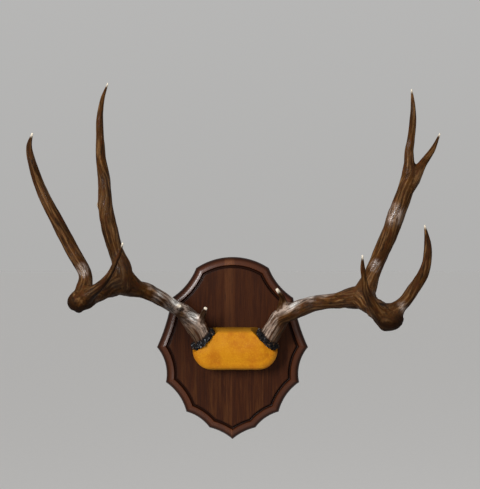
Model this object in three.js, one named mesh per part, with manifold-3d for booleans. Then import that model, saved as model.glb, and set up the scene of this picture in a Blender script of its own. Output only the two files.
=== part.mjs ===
// A pair of mule-deer-type antlers on a leather-covered skull plate, mounted on a scalloped walnut shield.
// Millimetres. The back of the shield lies on the wall in the plane y = 0 and everything stands out towards -Y.
// +X is to the viewer's right and +Z is up. The origin is the middle of the shield's back.
// "Left" and "right" are the viewer's, as the trophy hangs.
import * as THREE from "three";
import { mergeVertices } from "three/addons/utils/BufferGeometryUtils.js";
import Module from "manifold-3d";

const wasm = await Module();
wasm.setup();

// ---------------------------------------------------------------- driving dimensions

// Clearance between two pieces that touch, and a sliver by which cutters overlap so that they join.
const GAP = 0.3;
const SLIVER = 0.05;

// Right half of the shield's outline from top to bottom: each stretch ends at a corner (x, z) and
// bows by its sag, outwards where that is positive.
const ARCH_TOP_Z = 153;
const ARCH_END = [61, 134.5];
const SCALLOPS = [
  { to: [102, 84.5], sag: -5 },
  { to: [127, 1.5], sag: -3 },
  { to: [112, -57.5], sag: -7 },
  { to: [77.5, -107], sag: -5.5 },
  { to: [38.5, -133.5], sag: -4 },
  { to: [0, -153], sag: -2.5 },
];
const ARCH_STEPS = 12;
const SCALLOP_STEPS = 5;

// The shield's thickness and its routed moulding: distance in from the edge, height above the wall.
const SHIELD_THICKNESS = 19;
const MOULDING = [
  [0, 1],
  [0, 6.5],
  [1.4, 10.2],
  [4.6, 13.9],
  [8.8, 16.4],
  [13, 17.4],
  [15.2, 14.7],
  [17.2, 14.6],
  [17.9, SHIELD_THICKNESS],
];
const BACK_CHAMFER = 1;

// Skull plate under its leather: its outline, how far it stands out from the shield's face, the radius of its
// rolled edge, and its crown as inset and rise. Its upper corners are cut off square to the antlers' bases.
const CAP_EDGES = { left: -66, right: 75, top: 36, bottom: -33 };
const CAP_LOWER_RADIUS = 33.5;
const CAP_UPPER_RADIUS = 14;
const CAP_HEIGHT = 38;
const CAP_ROLL = 13;
const CAP_CROWN = [
  [18, 1.8],
  [24, 3.4],
  [30, 4.4],
];
const CAP_CORNER_STEPS = 6;
const CAP_ROLL_STEPS = 4;

// Burr at the foot of each antler: middle of its underside, the way it faces, its radius, thickness and knobs.
const BURRS = {
  left: { foot: [-46, 45, 14.5], axis: [-0.646, 0.26, 0.718] },
  right: { foot: [55, 45, 14.5], axis: [0.646, 0.26, 0.718] },
};
const BURR_RADIUS = 23.5;
const BURR_THICKNESS = 9;
const BURR_KNOBS = 11;
const BURR_KNOB_DEPTH = 1.6;
const BURR_SIDES = 33;

// Faceting of the limbs: sides of their sections and distance between sections.
const BEAM_SIDES = 12;
const TINE_SIDES = 10;
const SMALL_SIDES = 8;
const SECTION_STEP = 12;

// Limbs of the antlers: stations along the core, as x, distance out from the wall, z and diameter.
const LEFT = {
  beam: [
    [-46, 45, 14.5, 31],
    [-50.5, 47, 22.5, 32],
    [-58.5, 51, 36.5, 33],
    [-69, 57, 51, 30.5],
    [-79, 64, 62, 26.5],
    [-89, 71, 69.5, 23],
    [-100, 79, 76.5, 22.5],
    [-124, 98, 92, 24.5],
    [-143, 113, 101, 25.5],
    [-168, 135, 106.5, 26],
    [-179, 146, 108.5, 27],
  ],
  brow_tine: [
    [-53, 58, 46, 13],
    [-49.5, 64, 54.5, 10],
    [-46, 71, 65, 8.6],
    [-42, 77, 73.5, 5.5],
  ],
  knob: [
    [-83, 66, 65, 17],
    [-84, 78, 70.5, 10],
    [-84.5, 86, 74.5, 5],
  ],
  rear_tine: [
    [-174.5, 147, 110, 31],
    [-171.5, 149, 134, 27],
    [-183, 151, 165.5, 23.4],
    [-191.5, 153, 197, 25.5],
    [-198, 155, 233, 23],
    [-200, 159, 275, 19.5],
    [-204, 162, 306, 16],
    [-205.5, 165, 337, 13],
    [-205.5, 169, 368, 10.4],
    [-201.5, 173, 398, 7],
    [-192, 178, 424.5, 2],
  ],
  rear_nub: [
    [-202, 155, 233.5, 11],
    [-207.5, 155, 235.5, 7],
    [-211.5, 155, 236, 3.6],
  ],
  front_arm: [
    [-179, 146, 108.5, 27],
    [-190, 170, 106, 26],
    [-200.5, 200, 102.5, 27],
    [-210.5, 233, 98, 29.5],
    [-218, 258, 93.5, 31.5],
    [-225, 275, 90.5, 30],
  ],
  elbow: [
    [-218, 262, 93, 30],
    [-227, 275, 89, 32],
    [-232, 280, 88, 22],
  ],
  outer_front_tine: [
    [-222.5, 272, 93.5, 25],
    [-218.5, 267, 110, 21.5],
    [-217, 263, 129, 19.6],
    [-237, 259, 166, 20.6],
    [-260.5, 258, 210.5, 18.8],
    [-276, 259, 240, 17],
    [-288, 262, 270, 15],
    [-296.5, 267, 299, 11.8],
    [-299, 271, 319.5, 8.6],
    [-293, 277, 339, 2],
  ],
  inner_front_tine: [
    [-217.5, 275, 95, 22],
    [-204, 283, 104.5, 17],
    [-187, 294, 118.5, 11.7],
    [-175.5, 302, 133.5, 8.2],
    [-166.5, 309, 151.5, 6.7],
    [-162, 312, 160, 5.6],
    [-156, 318, 177.5, 2],
  ],
};
const RIGHT = {
  beam: [
    [55, 45, 14.5, 31],
    [61, 47.5, 23, 32],
    [71.5, 54, 40.5, 30.5],
    [80, 61, 54.5, 29.2],
    [90, 69, 61.5, 28.4],
    [106, 79, 68.5, 27.6],
    [130, 96, 78.5, 25.8],
    [142.5, 106, 81.5, 24.2],
    [155, 116, 83.5, 23.5],
    [167.5, 127, 85.5, 25],
    [179, 136, 88, 29],
    [190.5, 145, 89, 33],
    [202.5, 153, 90, 34],
  ],
  brow_tine: [
    [79.5, 64, 60, 19],
    [82, 72, 77, 13.6],
    [81.5, 77, 85.5, 10.2],
    [79, 81, 92, 8.2],
    [72, 87, 102, 4.6],
  ],
  rear_stem: [
    [204, 152, 93, 30],
    [213.5, 153, 112, 27],
    [223.5, 153, 137, 24],
    [236, 153, 165.5, 25],
    [249.5, 154, 197, 26],
    [257, 155, 220, 27],
    [266, 157, 244, 25.4],
    [274, 159, 267, 24],
    [279.5, 161, 289, 21],
  ],
  rear_tine: [
    [279, 161, 284, 19],
    [276.5, 163, 303, 15.8],
    [276.5, 165, 321.5, 13.3],
    [279, 167, 337, 12],
    [281.5, 171, 367.5, 10.2],
    [281, 174, 391, 7.2],
    [278.5, 177, 415.5, 2],
  ],
  rear_side_tine: [
    [280, 160, 283, 18],
    [294.5, 158, 297, 14],
    [302, 156, 305, 12.3],
    [315.5, 152, 324, 8.3],
    [327.5, 148, 349.5, 2],
  ],
  front_arm: [
    [202.5, 153, 90, 34],
    [209.5, 176, 85, 31],
    [216, 205, 79, 29.8],
    [222, 236, 74, 31],
    [227, 258, 69, 33],
    [231.5, 274, 65, 32],
  ],
  elbow: [
    [226, 262, 69, 32],
    [232, 275, 62.5, 33],
    [241, 280, 61, 24],
  ],
  outer_front_tine: [
    [234, 273, 68, 26.5],
    [250.5, 267, 83.5, 19.4],
    [259, 265, 92, 18.8],
    [269, 263, 106.5, 19],
    [277, 262, 117, 17.8],
    [284.5, 262, 129.5, 16.5],
    [289.5, 264, 146, 13.8],
    [291, 266, 163, 12.2],
    [290, 269, 178, 9.8],
    [285, 275, 203.5, 2],
  ],
  inner_front_tine: [
    [225, 275, 68.5, 25],
    [214, 281, 76, 19.8],
    [206, 287, 88, 16],
    [200.5, 292, 98.5, 13.6],
    [195.5, 297, 109.5, 11.2],
    [192.5, 304, 128, 7.8],
    [190.5, 308, 140, 7],
    [189.5, 315, 159.5, 2],
  ],
};

// Where a limb is parted from the piece that carries it: distance along the limb from its first station.
const PARTED_AT = {
  left: { rear_tine: 26, front_arm: 24, outer_front_tine: 28, inner_front_tine: 24 },
  right: {
    rear_stem: 30,
    rear_tine: 20,
    rear_side_tine: 20,
    front_arm: 30,
    outer_front_tine: 24,
    inner_front_tine: 22,
  },
};

// Hardware on the back. Heights and places are z and x; the wall screw's head goes into the keyhole.
const SKULL_SCREWS = { left: [-30, 4], right: [38, 4] };
const SKULL_SCREW = { head: 9, head_height: 4.2, shank: 4.5, length: 36, sunk: 0.5 };
const HANGER = { z: 96, width: 16, height: 50, thickness: 1.6, sunk: 0.2 };
const KEYHOLE = { round: 10, slot: 5.2, rise: 10 };
const HEAD_POCKET = { width: 12, height: 25, depth: 8.5 };
const HANGER_SCREW = { head: 6.4, head_height: 1.8, shank: 3, length: 12, sunk: 0.3 };
const HANGER_SCREW_PLACES = [HANGER.z - 19, HANGER.z + 19];
const SHANK_SIDES = 8;
const HEAD_SIDES = 16;
const ROUND_END_STEPS = 6;

// ---------------------------------------------------------------- solids

// A closed three.js geometry as a manifold solid.
function solid(geometry) {
  const bare = geometry.clone();
  bare.deleteAttribute("normal");
  bare.deleteAttribute("uv");
  const merged = mergeVertices(bare, 1e-4);
  return new wasm.Manifold(
    new wasm.Mesh({
      numProp: 3,
      vertProperties: new Float32Array(merged.attributes.position.array),
      triVerts: new Uint32Array(merged.index.array),
    }),
  );
}

function geometryOf(made) {
  const mesh = made.getMesh();
  const geometry = new THREE.BufferGeometry();
  geometry.setAttribute("position", new THREE.BufferAttribute(mesh.vertProperties, 3));
  geometry.setIndex(new THREE.BufferAttribute(mesh.triVerts, 1));
  geometry.computeVertexNormals();
  return geometry;
}

const union = (solids) => solids.reduce((whole, next) => whole.add(next));

const cut = (whole, cutters) => cutters.reduce((rest, next) => rest.subtract(next), whole);

// A closed skin over rings of equally many points, anticlockwise as seen from ahead of the last ring.
// The ends are closed by triangles given as places in the ring.
function skinOver(rings, firstCap, lastCap) {
  const count = rings[0].length;
  const positions = rings.flat().flatMap((p) => [p.x, p.y, p.z]);
  const index = [];
  for (let ring = 0; ring + 1 < rings.length; ring++)
    for (let i = 0; i < count; i++) {
      const a = ring * count + i;
      const b = ring * count + ((i + 1) % count);
      index.push(a, b, b + count, a, b + count, a + count);
    }
  const last = (rings.length - 1) * count;
  for (const [a, b, c] of firstCap) index.push(a, c, b);
  for (const [a, b, c] of lastCap) index.push(last + a, last + b, last + c);
  const geometry = new THREE.BufferGeometry();
  geometry.setAttribute("position", new THREE.Float32BufferAttribute(positions, 3));
  geometry.setIndex(index);
  return geometry;
}

// Triangles that close a convex ring.
const fan = (count) => Array.from({ length: count - 2 }, (_, i) => [0, i + 1, i + 2]);

// Triangles that close a flat ring of any shape, lying square to the wall.
function flatCap(ring) {
  const outline = ring.map((p) => new THREE.Vector2(p.x, p.z));
  return THREE.ShapeUtils.triangulateShape(outline, []);
}

// A point given as x, distance out from the wall and z.
const place = ([x, out, z]) => new THREE.Vector3(x, -out, z);

// A round bar square to the wall; it narrows from the wide end at the wall to the narrow one.
function bar(x, z, wide, narrow, from, to, sides) {
  const geometry = new THREE.CylinderGeometry(wide / 2, narrow / 2, to - from, sides);
  geometry.translate(x, -(from + to) / 2, z);
  return solid(geometry);
}

// An upright block with round ends, square to the wall.
function roundEnded(z, width, height, from, to) {
  const shape = new THREE.Shape();
  const straight = (height - width) / 2;
  shape.absarc(0, straight, width / 2, 0, Math.PI);
  shape.absarc(0, -straight, width / 2, Math.PI, 2 * Math.PI);
  const geometry = new THREE.ExtrudeGeometry(shape, {
    depth: to - from,
    bevelEnabled: false,
    curveSegments: ROUND_END_STEPS,
  });
  geometry.rotateX(Math.PI / 2);
  geometry.translate(0, -from, z);
  return solid(geometry);
}

// The room that a screw takes, with its clearance all round.
function screwHole(x, z, { head, head_height: headHeight, shank, length, sunk }) {
  const wide = head + 2 * GAP;
  const narrow = shank + 2 * GAP;
  return union([
    bar(x, z, wide, wide, -1, sunk, HEAD_SIDES),
    bar(x, z, wide, narrow, sunk - SLIVER, headHeight + GAP, HEAD_SIDES),
    bar(x, z, narrow, narrow, headHeight, length + GAP, SHANK_SIDES),
  ]);
}

// ---------------------------------------------------------------- shield

// The circle through the ends of a stretch with the given sag.
function circleOf([x0, z0], [x1, z1], sag) {
  const chord = Math.hypot(x1 - x0, z1 - z0);
  const bow = Math.abs(sag);
  const radius = (chord * chord) / (8 * bow) + bow / 2;
  const toCentre = Math.sign(sag) * (radius - bow);
  const inward = [(z1 - z0) / chord, (x0 - x1) / chord];
  return {
    x: (x0 + x1) / 2 + inward[0] * toCentre,
    z: (z0 + z1) / 2 + inward[1] * toCentre,
    radius,
    convex: sag > 0,
  };
}

// Where two circles cross, at the crossing nearest to a given point.
function crossing(a, b, near) {
  const distance = Math.hypot(b.x - a.x, b.z - a.z);
  const along = (a.radius ** 2 - b.radius ** 2 + distance ** 2) / (2 * distance);
  const across = Math.sqrt(a.radius ** 2 - along ** 2);
  const ux = (b.x - a.x) / distance;
  const uz = (b.z - a.z) / distance;
  const away = (p) => Math.hypot(p[0] - near[0], p[1] - near[1]);
  const [one, other] = [across, -across].map((h) => [
    a.x + ux * along - uz * h,
    a.z + uz * along + ux * h,
  ]);
  return away(one) < away(other) ? one : other;
}

// Points along a circle from one point to another, without the last.
function arc(circle, from, to, steps) {
  const start = Math.atan2(from[1] - circle.z, from[0] - circle.x);
  const turn = Math.atan2(to[1] - circle.z, to[0] - circle.x) - start;
  const sweep = turn - 2 * Math.PI * Math.round(turn / (2 * Math.PI));
  return Array.from({ length: steps }, (_, step) => {
    const angle = start + (sweep * step) / steps;
    return [circle.x + circle.radius * Math.cos(angle), circle.z + circle.radius * Math.sin(angle)];
  });
}

const mirrored = (circle) => ({ ...circle, x: -circle.x });

// The shield's outline moved inwards by an inset, as [x, z] points, anticlockwise from the top right corner.
function shieldOutline(inset) {
  const topLeft = [-ARCH_END[0], ARCH_END[1]];
  const stretches = [
    { from: topLeft, to: ARCH_END, sag: ARCH_TOP_Z - ARCH_END[1], steps: ARCH_STEPS },
  ];
  for (const scallop of SCALLOPS)
    stretches.push({ from: stretches.at(-1).to, steps: SCALLOP_STEPS, ...scallop });
  const circles = stretches.map(({ from, to, sag }) => {
    const circle = circleOf(from, to, sag);
    circle.radius += circle.convex ? -inset : inset;
    return circle;
  });
  const corners = [crossing(circles[0], mirrored(circles[1]), topLeft)];
  circles.forEach((circle, i) => {
    const next = circles[i + 1] ?? mirrored(circle);
    corners.push(crossing(circle, next, stretches[i].to));
  });
  const [arch, ...scallops] = circles.map((circle, i) =>
    arc(circle, corners[i], corners[i + 1], stretches[i].steps),
  );
  const rightSide = scallops.flat();
  const leftSide = rightSide.slice(1).map(([x, z]) => [-x, z]);
  const clockwise = [...arch, ...rightSide, corners.at(-1), ...leftSide.reverse()];
  return clockwise.reverse();
}

// The boards with their moulding, before anything is let into the back.
function shieldBlank() {
  const ringAt = ([inset, height]) =>
    shieldOutline(inset).map(([x, z]) => new THREE.Vector3(x, -height, z));
  const rings = [[BACK_CHAMFER, 0], ...MOULDING].map(ringAt);
  return solid(skinOver(rings, flatCap(rings[0]), flatCap(rings.at(-1))));
}

// The keyhole as it is cut through its plate: a round hole with a slot rising from it.
function keyhole(from, to) {
  const { round, slot, rise } = KEYHOLE;
  const z = HANGER.z - rise / 2;
  return union([
    bar(0, z, round, round, from, to, HEAD_SIDES),
    roundEnded(z + rise / 2, slot, rise + slot, from, to),
  ]);
}

function shield() {
  const plate = HANGER;
  const plateFloor = plate.sunk + plate.thickness + GAP;
  const screwHoles = Object.values(SKULL_SCREWS).map(([x, z]) => screwHole(x, z, SKULL_SCREW));
  const hangerHoles = HANGER_SCREW_PLACES.map((z) => screwHole(0, z, HANGER_SCREW));
  return cut(shieldBlank(), [
    roundEnded(plate.z, plate.width + 2 * GAP, plate.height + 2 * GAP, -1, plateFloor),
    roundEnded(plate.z, HEAD_POCKET.width, HEAD_POCKET.height, 1, plateFloor + HEAD_POCKET.depth),
    ...screwHoles,
    ...hangerHoles,
  ]);
}

// ---------------------------------------------------------------- skull plate in its leather

// The cap's outline moved inwards by an inset, as [x, z] points, anticlockwise from the lower right.
function capOutline(inset) {
  const { left, right, top, bottom } = CAP_EDGES;
  const quarters = [
    { x: right, z: bottom, sx: -1, sz: 1, radius: CAP_LOWER_RADIUS, start: -Math.PI / 2 },
    { x: right, z: top, sx: -1, sz: -1, radius: CAP_UPPER_RADIUS, start: 0 },
    { x: left, z: top, sx: 1, sz: -1, radius: CAP_UPPER_RADIUS, start: Math.PI / 2 },
    { x: left, z: bottom, sx: 1, sz: 1, radius: CAP_LOWER_RADIUS, start: Math.PI },
  ];
  return quarters.flatMap(({ x, z, sx, sz, radius, start }) => {
    const turned = Math.max(radius - inset, 1);
    const reach = inset + turned;
    return Array.from({ length: CAP_CORNER_STEPS + 1 }, (_, step) => {
      const angle = start + (Math.PI / 2) * (step / CAP_CORNER_STEPS);
      return [x + sx * reach + turned * Math.cos(angle), z + sz * reach + turned * Math.sin(angle)];
    });
  });
}

// Everything beyond the underside of an antler's burr.
function beyondBurr({ foot, axis }) {
  const size = 2 * BURR_RADIUS * 2;
  const direction = place(axis).normalize();
  const geometry = new THREE.BoxGeometry(size, size, size);
  geometry.translate(0, size / 2 - GAP, 0);
  geometry.applyQuaternion(
    new THREE.Quaternion().setFromUnitVectors(new THREE.Vector3(0, 1, 0), direction),
  );
  geometry.translate(...place(foot).toArray());
  return solid(geometry);
}

function skullCap() {
  const face = SHIELD_THICKNESS + GAP;
  const profile = [[0, 0]];
  for (let step = 0; step <= CAP_ROLL_STEPS; step++) {
    const angle = (Math.PI / 2) * (step / CAP_ROLL_STEPS);
    const inset = CAP_ROLL * (1 - Math.cos(angle));
    profile.push([inset, CAP_HEIGHT - CAP_ROLL * (1 - Math.sin(angle))]);
  }
  for (const [inset, rise] of CAP_CROWN) profile.push([inset, CAP_HEIGHT + rise]);
  const rings = profile.map(([inset, height]) =>
    capOutline(inset).map(([x, z]) => new THREE.Vector3(x, -(face + height), z)),
  );
  const count = rings[0].length;
  const blank = solid(skinOver(rings, fan(count), fan(count)));
  const screwHoles = Object.values(SKULL_SCREWS).map(([x, z]) => screwHole(x, z, SKULL_SCREW));
  return cut(blank, [beyondBurr(BURRS.left), beyondBurr(BURRS.right), ...screwHoles]);
}

// ---------------------------------------------------------------- antlers

// A tapering limb over its stations, between two distances along it, both ends cut square.
function limb(stations, sides, from = 0, to = Infinity) {
  const core = new THREE.CatmullRomCurve3(stations.map(place), false, "centripetal");
  const length = core.getLength();
  const end = Math.min(to, length);
  const steps = Math.max(2, Math.round((end - from) / SECTION_STEP));
  const side = new THREE.Vector3(0, 1, 0);
  const rings = Array.from({ length: steps + 1 }, (_, step) => {
    const t = core.getUtoTmapping(Math.min((from + ((end - from) * step) / steps) / length, 1));
    const station = t * (stations.length - 1);
    const before = Math.min(Math.floor(station), stations.length - 2);
    const diameter = THREE.MathUtils.lerp(stations[before][3], stations[before + 1][3], station - before);
    const centre = core.getPoint(t);
    const tangent = core.getTangent(t);
    side.addScaledVector(tangent, -side.dot(tangent)).normalize();
    const across = new THREE.Vector3().crossVectors(tangent, side);
    return Array.from({ length: sides }, (_, i) => {
      const angle = (2 * Math.PI * i) / sides;
      return centre
        .clone()
        .addScaledVector(side, (diameter / 2) * Math.cos(angle))
        .addScaledVector(across, (diameter / 2) * Math.sin(angle));
    });
  });
  return solid(skinOver(rings, fan(sides), fan(sides)));
}

// The knobbly ring at an antler's foot.
function burr({ foot, axis }) {
  const lip = 2.5;
  const profile = [
    [0, BURR_RADIUS - lip],
    [lip, BURR_RADIUS],
    [BURR_THICKNESS - lip, BURR_RADIUS - 1],
    [BURR_THICKNESS, BURR_RADIUS - 2 * lip],
  ];
  const rings = profile.map(([up, radius]) =>
    Array.from({ length: BURR_SIDES }, (_, i) => {
      const angle = (2 * Math.PI * i) / BURR_SIDES;
      const knobbly = radius - BURR_KNOB_DEPTH * (0.5 - 0.5 * Math.cos(BURR_KNOBS * angle));
      return new THREE.Vector3(knobbly * Math.cos(angle), up, -knobbly * Math.sin(angle));
    }),
  );
  const geometry = skinOver(rings, fan(BURR_SIDES), fan(BURR_SIDES));
  geometry.applyQuaternion(
    new THREE.Quaternion().setFromUnitVectors(
      new THREE.Vector3(0, 1, 0),
      place(axis).normalize(),
    ),
  );
  geometry.translate(...place(foot).toArray());
  return solid(geometry);
}

// The part of a limb that grows out of the piece carrying it, and the rest of it beyond the gap.
const rootOf = (stations, sides, partedAt) => limb(stations, sides, 0, partedAt);
const restOf = (stations, sides, partedAt) => limb(stations, sides, partedAt + GAP);

// The pieces of one antler, by name. Its burr and beam carry the roots of the limbs at the first fork.
function leftAntler() {
  const parted = PARTED_AT.left;
  return {
    left_beam: union([
      limb(LEFT.beam, BEAM_SIDES, BURR_THICKNESS / 2),
      burr(BURRS.left),
      limb(LEFT.brow_tine, SMALL_SIDES),
      limb(LEFT.knob, SMALL_SIDES),
      rootOf(LEFT.rear_tine, BEAM_SIDES, parted.rear_tine),
      rootOf(LEFT.front_arm, BEAM_SIDES, parted.front_arm),
    ]),
    left_rear_tine: union([
      restOf(LEFT.rear_tine, BEAM_SIDES, parted.rear_tine),
      limb(LEFT.rear_nub, SMALL_SIDES),
    ]),
    left_front_arm: union([
      restOf(LEFT.front_arm, BEAM_SIDES, parted.front_arm),
      limb(LEFT.elbow, BEAM_SIDES),
      rootOf(LEFT.outer_front_tine, TINE_SIDES, parted.outer_front_tine),
      rootOf(LEFT.inner_front_tine, TINE_SIDES, parted.inner_front_tine),
    ]),
    left_outer_front_tine: restOf(LEFT.outer_front_tine, TINE_SIDES, parted.outer_front_tine),
    left_inner_front_tine: restOf(LEFT.inner_front_tine, TINE_SIDES, parted.inner_front_tine),
  };
}

// The right antler also forks again at the top of its rear limb.
function rightAntler() {
  const parted = PARTED_AT.right;
  return {
    right_beam: union([
      limb(RIGHT.beam, BEAM_SIDES, BURR_THICKNESS / 2),
      burr(BURRS.right),
      limb(RIGHT.brow_tine, TINE_SIDES),
      rootOf(RIGHT.rear_stem, BEAM_SIDES, parted.rear_stem),
      rootOf(RIGHT.front_arm, BEAM_SIDES, parted.front_arm),
    ]),
    right_rear_stem: union([
      restOf(RIGHT.rear_stem, BEAM_SIDES, parted.rear_stem),
      rootOf(RIGHT.rear_tine, TINE_SIDES, parted.rear_tine),
      rootOf(RIGHT.rear_side_tine, TINE_SIDES, parted.rear_side_tine),
    ]),
    right_rear_tine: restOf(RIGHT.rear_tine, TINE_SIDES, parted.rear_tine),
    right_rear_side_tine: restOf(RIGHT.rear_side_tine, TINE_SIDES, parted.rear_side_tine),
    right_front_arm: union([
      restOf(RIGHT.front_arm, BEAM_SIDES, parted.front_arm),
      limb(RIGHT.elbow, BEAM_SIDES),
      rootOf(RIGHT.outer_front_tine, TINE_SIDES, parted.outer_front_tine),
      rootOf(RIGHT.inner_front_tine, TINE_SIDES, parted.inner_front_tine),
    ]),
    right_outer_front_tine: restOf(RIGHT.outer_front_tine, TINE_SIDES, parted.outer_front_tine),
    right_inner_front_tine: restOf(RIGHT.inner_front_tine, TINE_SIDES, parted.inner_front_tine),
  };
}

// ---------------------------------------------------------------- hardware on the back

// A countersunk wood screw driven in from the wall side, its head sunk a little, with a cross recess.
function screw(x, z, { head, head_height: headHeight, shank, length }, sunk) {
  const recess = [
    [head * 0.55, head * 0.14],
    [head * 0.14, head * 0.55],
  ].map(([wide, high]) => {
    const geometry = new THREE.BoxGeometry(wide, headHeight, high);
    geometry.translate(x, -sunk, z);
    return solid(geometry);
  });
  const body = union([
    bar(x, z, head, shank, sunk, headHeight, HEAD_SIDES),
    bar(x, z, shank, shank, headHeight - shank / 4, length - shank, SHANK_SIDES),
    bar(x, z, shank, shank / 6, length - shank, length, SHANK_SIDES),
  ]);
  return cut(body, recess);
}

function hangerPlate() {
  const { z, width, height, thickness, sunk } = HANGER;
  const face = sunk + thickness;
  const holes = HANGER_SCREW_PLACES.map((at) => screwHole(0, at, HANGER_SCREW));
  return cut(roundEnded(z, width, height, sunk, face), [keyhole(-1, face + 1), ...holes]);
}

// ---------------------------------------------------------------- the trophy

const FINISHES = {
  walnut: { color: 0x4a2a1c, roughness: 0.42, metalness: 0 },
  leather: { color: 0xc98a1e, roughness: 0.8, metalness: 0 },
  antler: { color: 0x5f4430, roughness: 0.45, metalness: 0 },
  plated_steel: { color: 0xa8a598, roughness: 0.35, metalness: 1 },
};

const trophy = new THREE.Group();

function add(name, made, finish) {
  const mesh = new THREE.Mesh(geometryOf(made), new THREE.MeshStandardMaterial(FINISHES[finish]));
  mesh.name = name;
  trophy.add(mesh);
}

add("plaque", shield(), "walnut");
add("skull_cap", skullCap(), "leather");
for (const [name, made] of Object.entries({ ...leftAntler(), ...rightAntler() })) add(name, made, "antler");
for (const [side, [x, z]] of Object.entries(SKULL_SCREWS))
  add(`skull_screw_${side}`, screw(x, z, SKULL_SCREW, SKULL_SCREW.sunk), "plated_steel");
add("hanger_plate", hangerPlate(), "plated_steel");
HANGER_SCREW_PLACES.forEach((z, i) => {
  const name = `hanger_screw_${["lower", "upper"][i]}`;
  add(name, screw(0, z, HANGER_SCREW, HANGER_SCREW.sunk), "plated_steel");
});

export default trophy;
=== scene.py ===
import math

import bpy
import numpy as np
from bpy.props import FloatProperty, FloatVectorProperty, IntProperty, PointerProperty
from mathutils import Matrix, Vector


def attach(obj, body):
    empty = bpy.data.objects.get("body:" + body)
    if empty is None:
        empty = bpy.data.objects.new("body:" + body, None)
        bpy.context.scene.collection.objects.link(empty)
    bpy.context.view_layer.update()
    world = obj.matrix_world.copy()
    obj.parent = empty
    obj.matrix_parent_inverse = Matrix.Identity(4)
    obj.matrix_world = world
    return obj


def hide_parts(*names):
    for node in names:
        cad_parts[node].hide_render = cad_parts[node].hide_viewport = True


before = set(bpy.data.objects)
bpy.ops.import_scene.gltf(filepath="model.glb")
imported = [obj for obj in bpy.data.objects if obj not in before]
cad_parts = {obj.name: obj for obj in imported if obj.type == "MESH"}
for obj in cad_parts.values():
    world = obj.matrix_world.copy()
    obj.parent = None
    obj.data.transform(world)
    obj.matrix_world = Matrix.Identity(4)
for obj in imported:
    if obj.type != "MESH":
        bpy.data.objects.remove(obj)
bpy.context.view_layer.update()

bl_info = {
    "name": "Mounted Antlers",
    "version": (1, 0, 0),
    "blender": (4, 5, 0),
    "location": "3D View > Sidebar > Antlers",
    "description": "A pair of deer antlers on a leather-covered skull plate and a scalloped walnut shield",
    "category": "Object",
}

# ------------------------------------------------------------------ sizes, in millimetres
# The wall is the plane y = 0, and everything stands out from it towards -Y. "Left" and "right" are the
# viewer's.

MM = 0.001
BODY = "root"

# Limbs of the antlers: web is how far a limb's skin reaches to flow into its neighbour's, gnarl how lumpy it
# has grown, furrows how deep its flutes are, the stain and shade number how far its rind is darkened, by real
# stain and by painted shade where the limb lies low in shadow, as at the elbows, and ivory how much of its
# tip
# is rubbed pale: none where it ends inside another limb. Stations along its core are x, distance out from the
# wall, z and diameter.
LEFT_LIMBS = {
    "beam": dict(web=32, gnarl=1.0, furrows=1.0, stained_and_shaded=0, ivory=0, stations=[
        (-46, 45, 14.5, 31), (-50.5, 47, 22.5, 32), (-58.5, 51, 36.5, 33), (-69, 57, 51, 30.5),
        (-79, 64, 62, 26.5), (-89, 71, 69.5, 23), (-100, 79, 76.5, 22.5), (-124, 98, 92, 24.5),
        (-143, 113, 101, 25.5), (-168, 135, 106.5, 26), (-179, 146, 108.5, 27), (-190, 170, 106, 26),
        (-200.5, 200, 102.5, 27), (-210.5, 233, 98, 29.5), (-218, 258, 93.5, 31.5), (-225, 275, 90.5, 30),
    ]),
    "brow_tine": dict(web=10, gnarl=0.7, furrows=0.4, stained_and_shaded=0.5, ivory=1.2, stations=[
        (-53, 58, 46, 13), (-49.5, 64, 54.5, 10), (-46, 71, 64, 8.6), (-43, 75.5, 71, 5.4),
    ]),
    "knob": dict(web=7, gnarl=0.6, furrows=0.0, stained_and_shaded=0.9, ivory=0.7, stations=[
        (-83, 66, 65, 17), (-84, 77, 70, 10.5), (-84.5, 83, 73, 6.5), (-84.5, 86, 74.5, 3.4),
    ]),
    "rear_tine": dict(web=32, gnarl=0.55, furrows=0.7, stained_and_shaded=0.15, ivory=4, stations=[
        (-174.5, 147, 110, 31), (-171.5, 149, 134, 27), (-183, 151, 165.5, 23.4), (-191.5, 153, 197, 25.5),
        (-198, 155, 233, 23), (-200, 159, 275, 19.5), (-204, 162, 306, 16), (-205.5, 165, 337, 13),
        (-205.5, 169, 368, 10.4), (-201.5, 173, 398, 7), (-192, 178, 424.5, 2),
    ]),
    "fork_web": dict(web=22, gnarl=0.8, furrows=0.8, stained_and_shaded=0, ivory=0, stations=[
        (-168, 142, 126, 23), (-163, 140, 119.5, 22), (-152, 128, 108, 21), (-143, 117, 102, 20),
    ]),
    "rear_nub": dict(web=5, gnarl=0.3, furrows=0.0, stained_and_shaded=0.2, ivory=1.2, stations=[
        (-202, 155, 233.5, 11), (-207.5, 155, 235.5, 7), (-211.5, 155, 236, 3.6),
    ]),
    "elbow": dict(web=14, gnarl=2.4, furrows=0.8, stained_and_shaded=1.0, ivory=0, stations=[
        (-218, 262, 93, 30), (-227, 275, 89, 32), (-232, 280, 88, 22),
    ]),
    "outer_front_tine": dict(web=18, gnarl=0.55, furrows=0.7, stained_and_shaded=0.2, ivory=4, stations=[
        (-222.5, 272, 93.5, 25), (-218.5, 267, 110, 21.5), (-217, 263, 129, 19.6), (-237, 259, 166, 20.6),
        (-260.5, 258, 210.5, 18.8), (-276, 259, 240, 17), (-288, 262, 270, 15), (-296.5, 267, 299, 11.8),
        (-299, 271, 319.5, 8.6), (-293, 277, 339, 2),
    ]),
    "inner_front_tine": dict(web=14, gnarl=0.5, furrows=0.6, stained_and_shaded=0.4, ivory=4, stations=[
        (-217.5, 275, 95, 22), (-204, 283, 104.5, 17), (-187, 294, 118.5, 11.7), (-175.5, 302, 133.5, 8.2),
        (-166.5, 309, 151.5, 6.7), (-162, 312, 160, 5.6), (-156, 318, 177.5, 2),
    ]),
}
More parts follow.
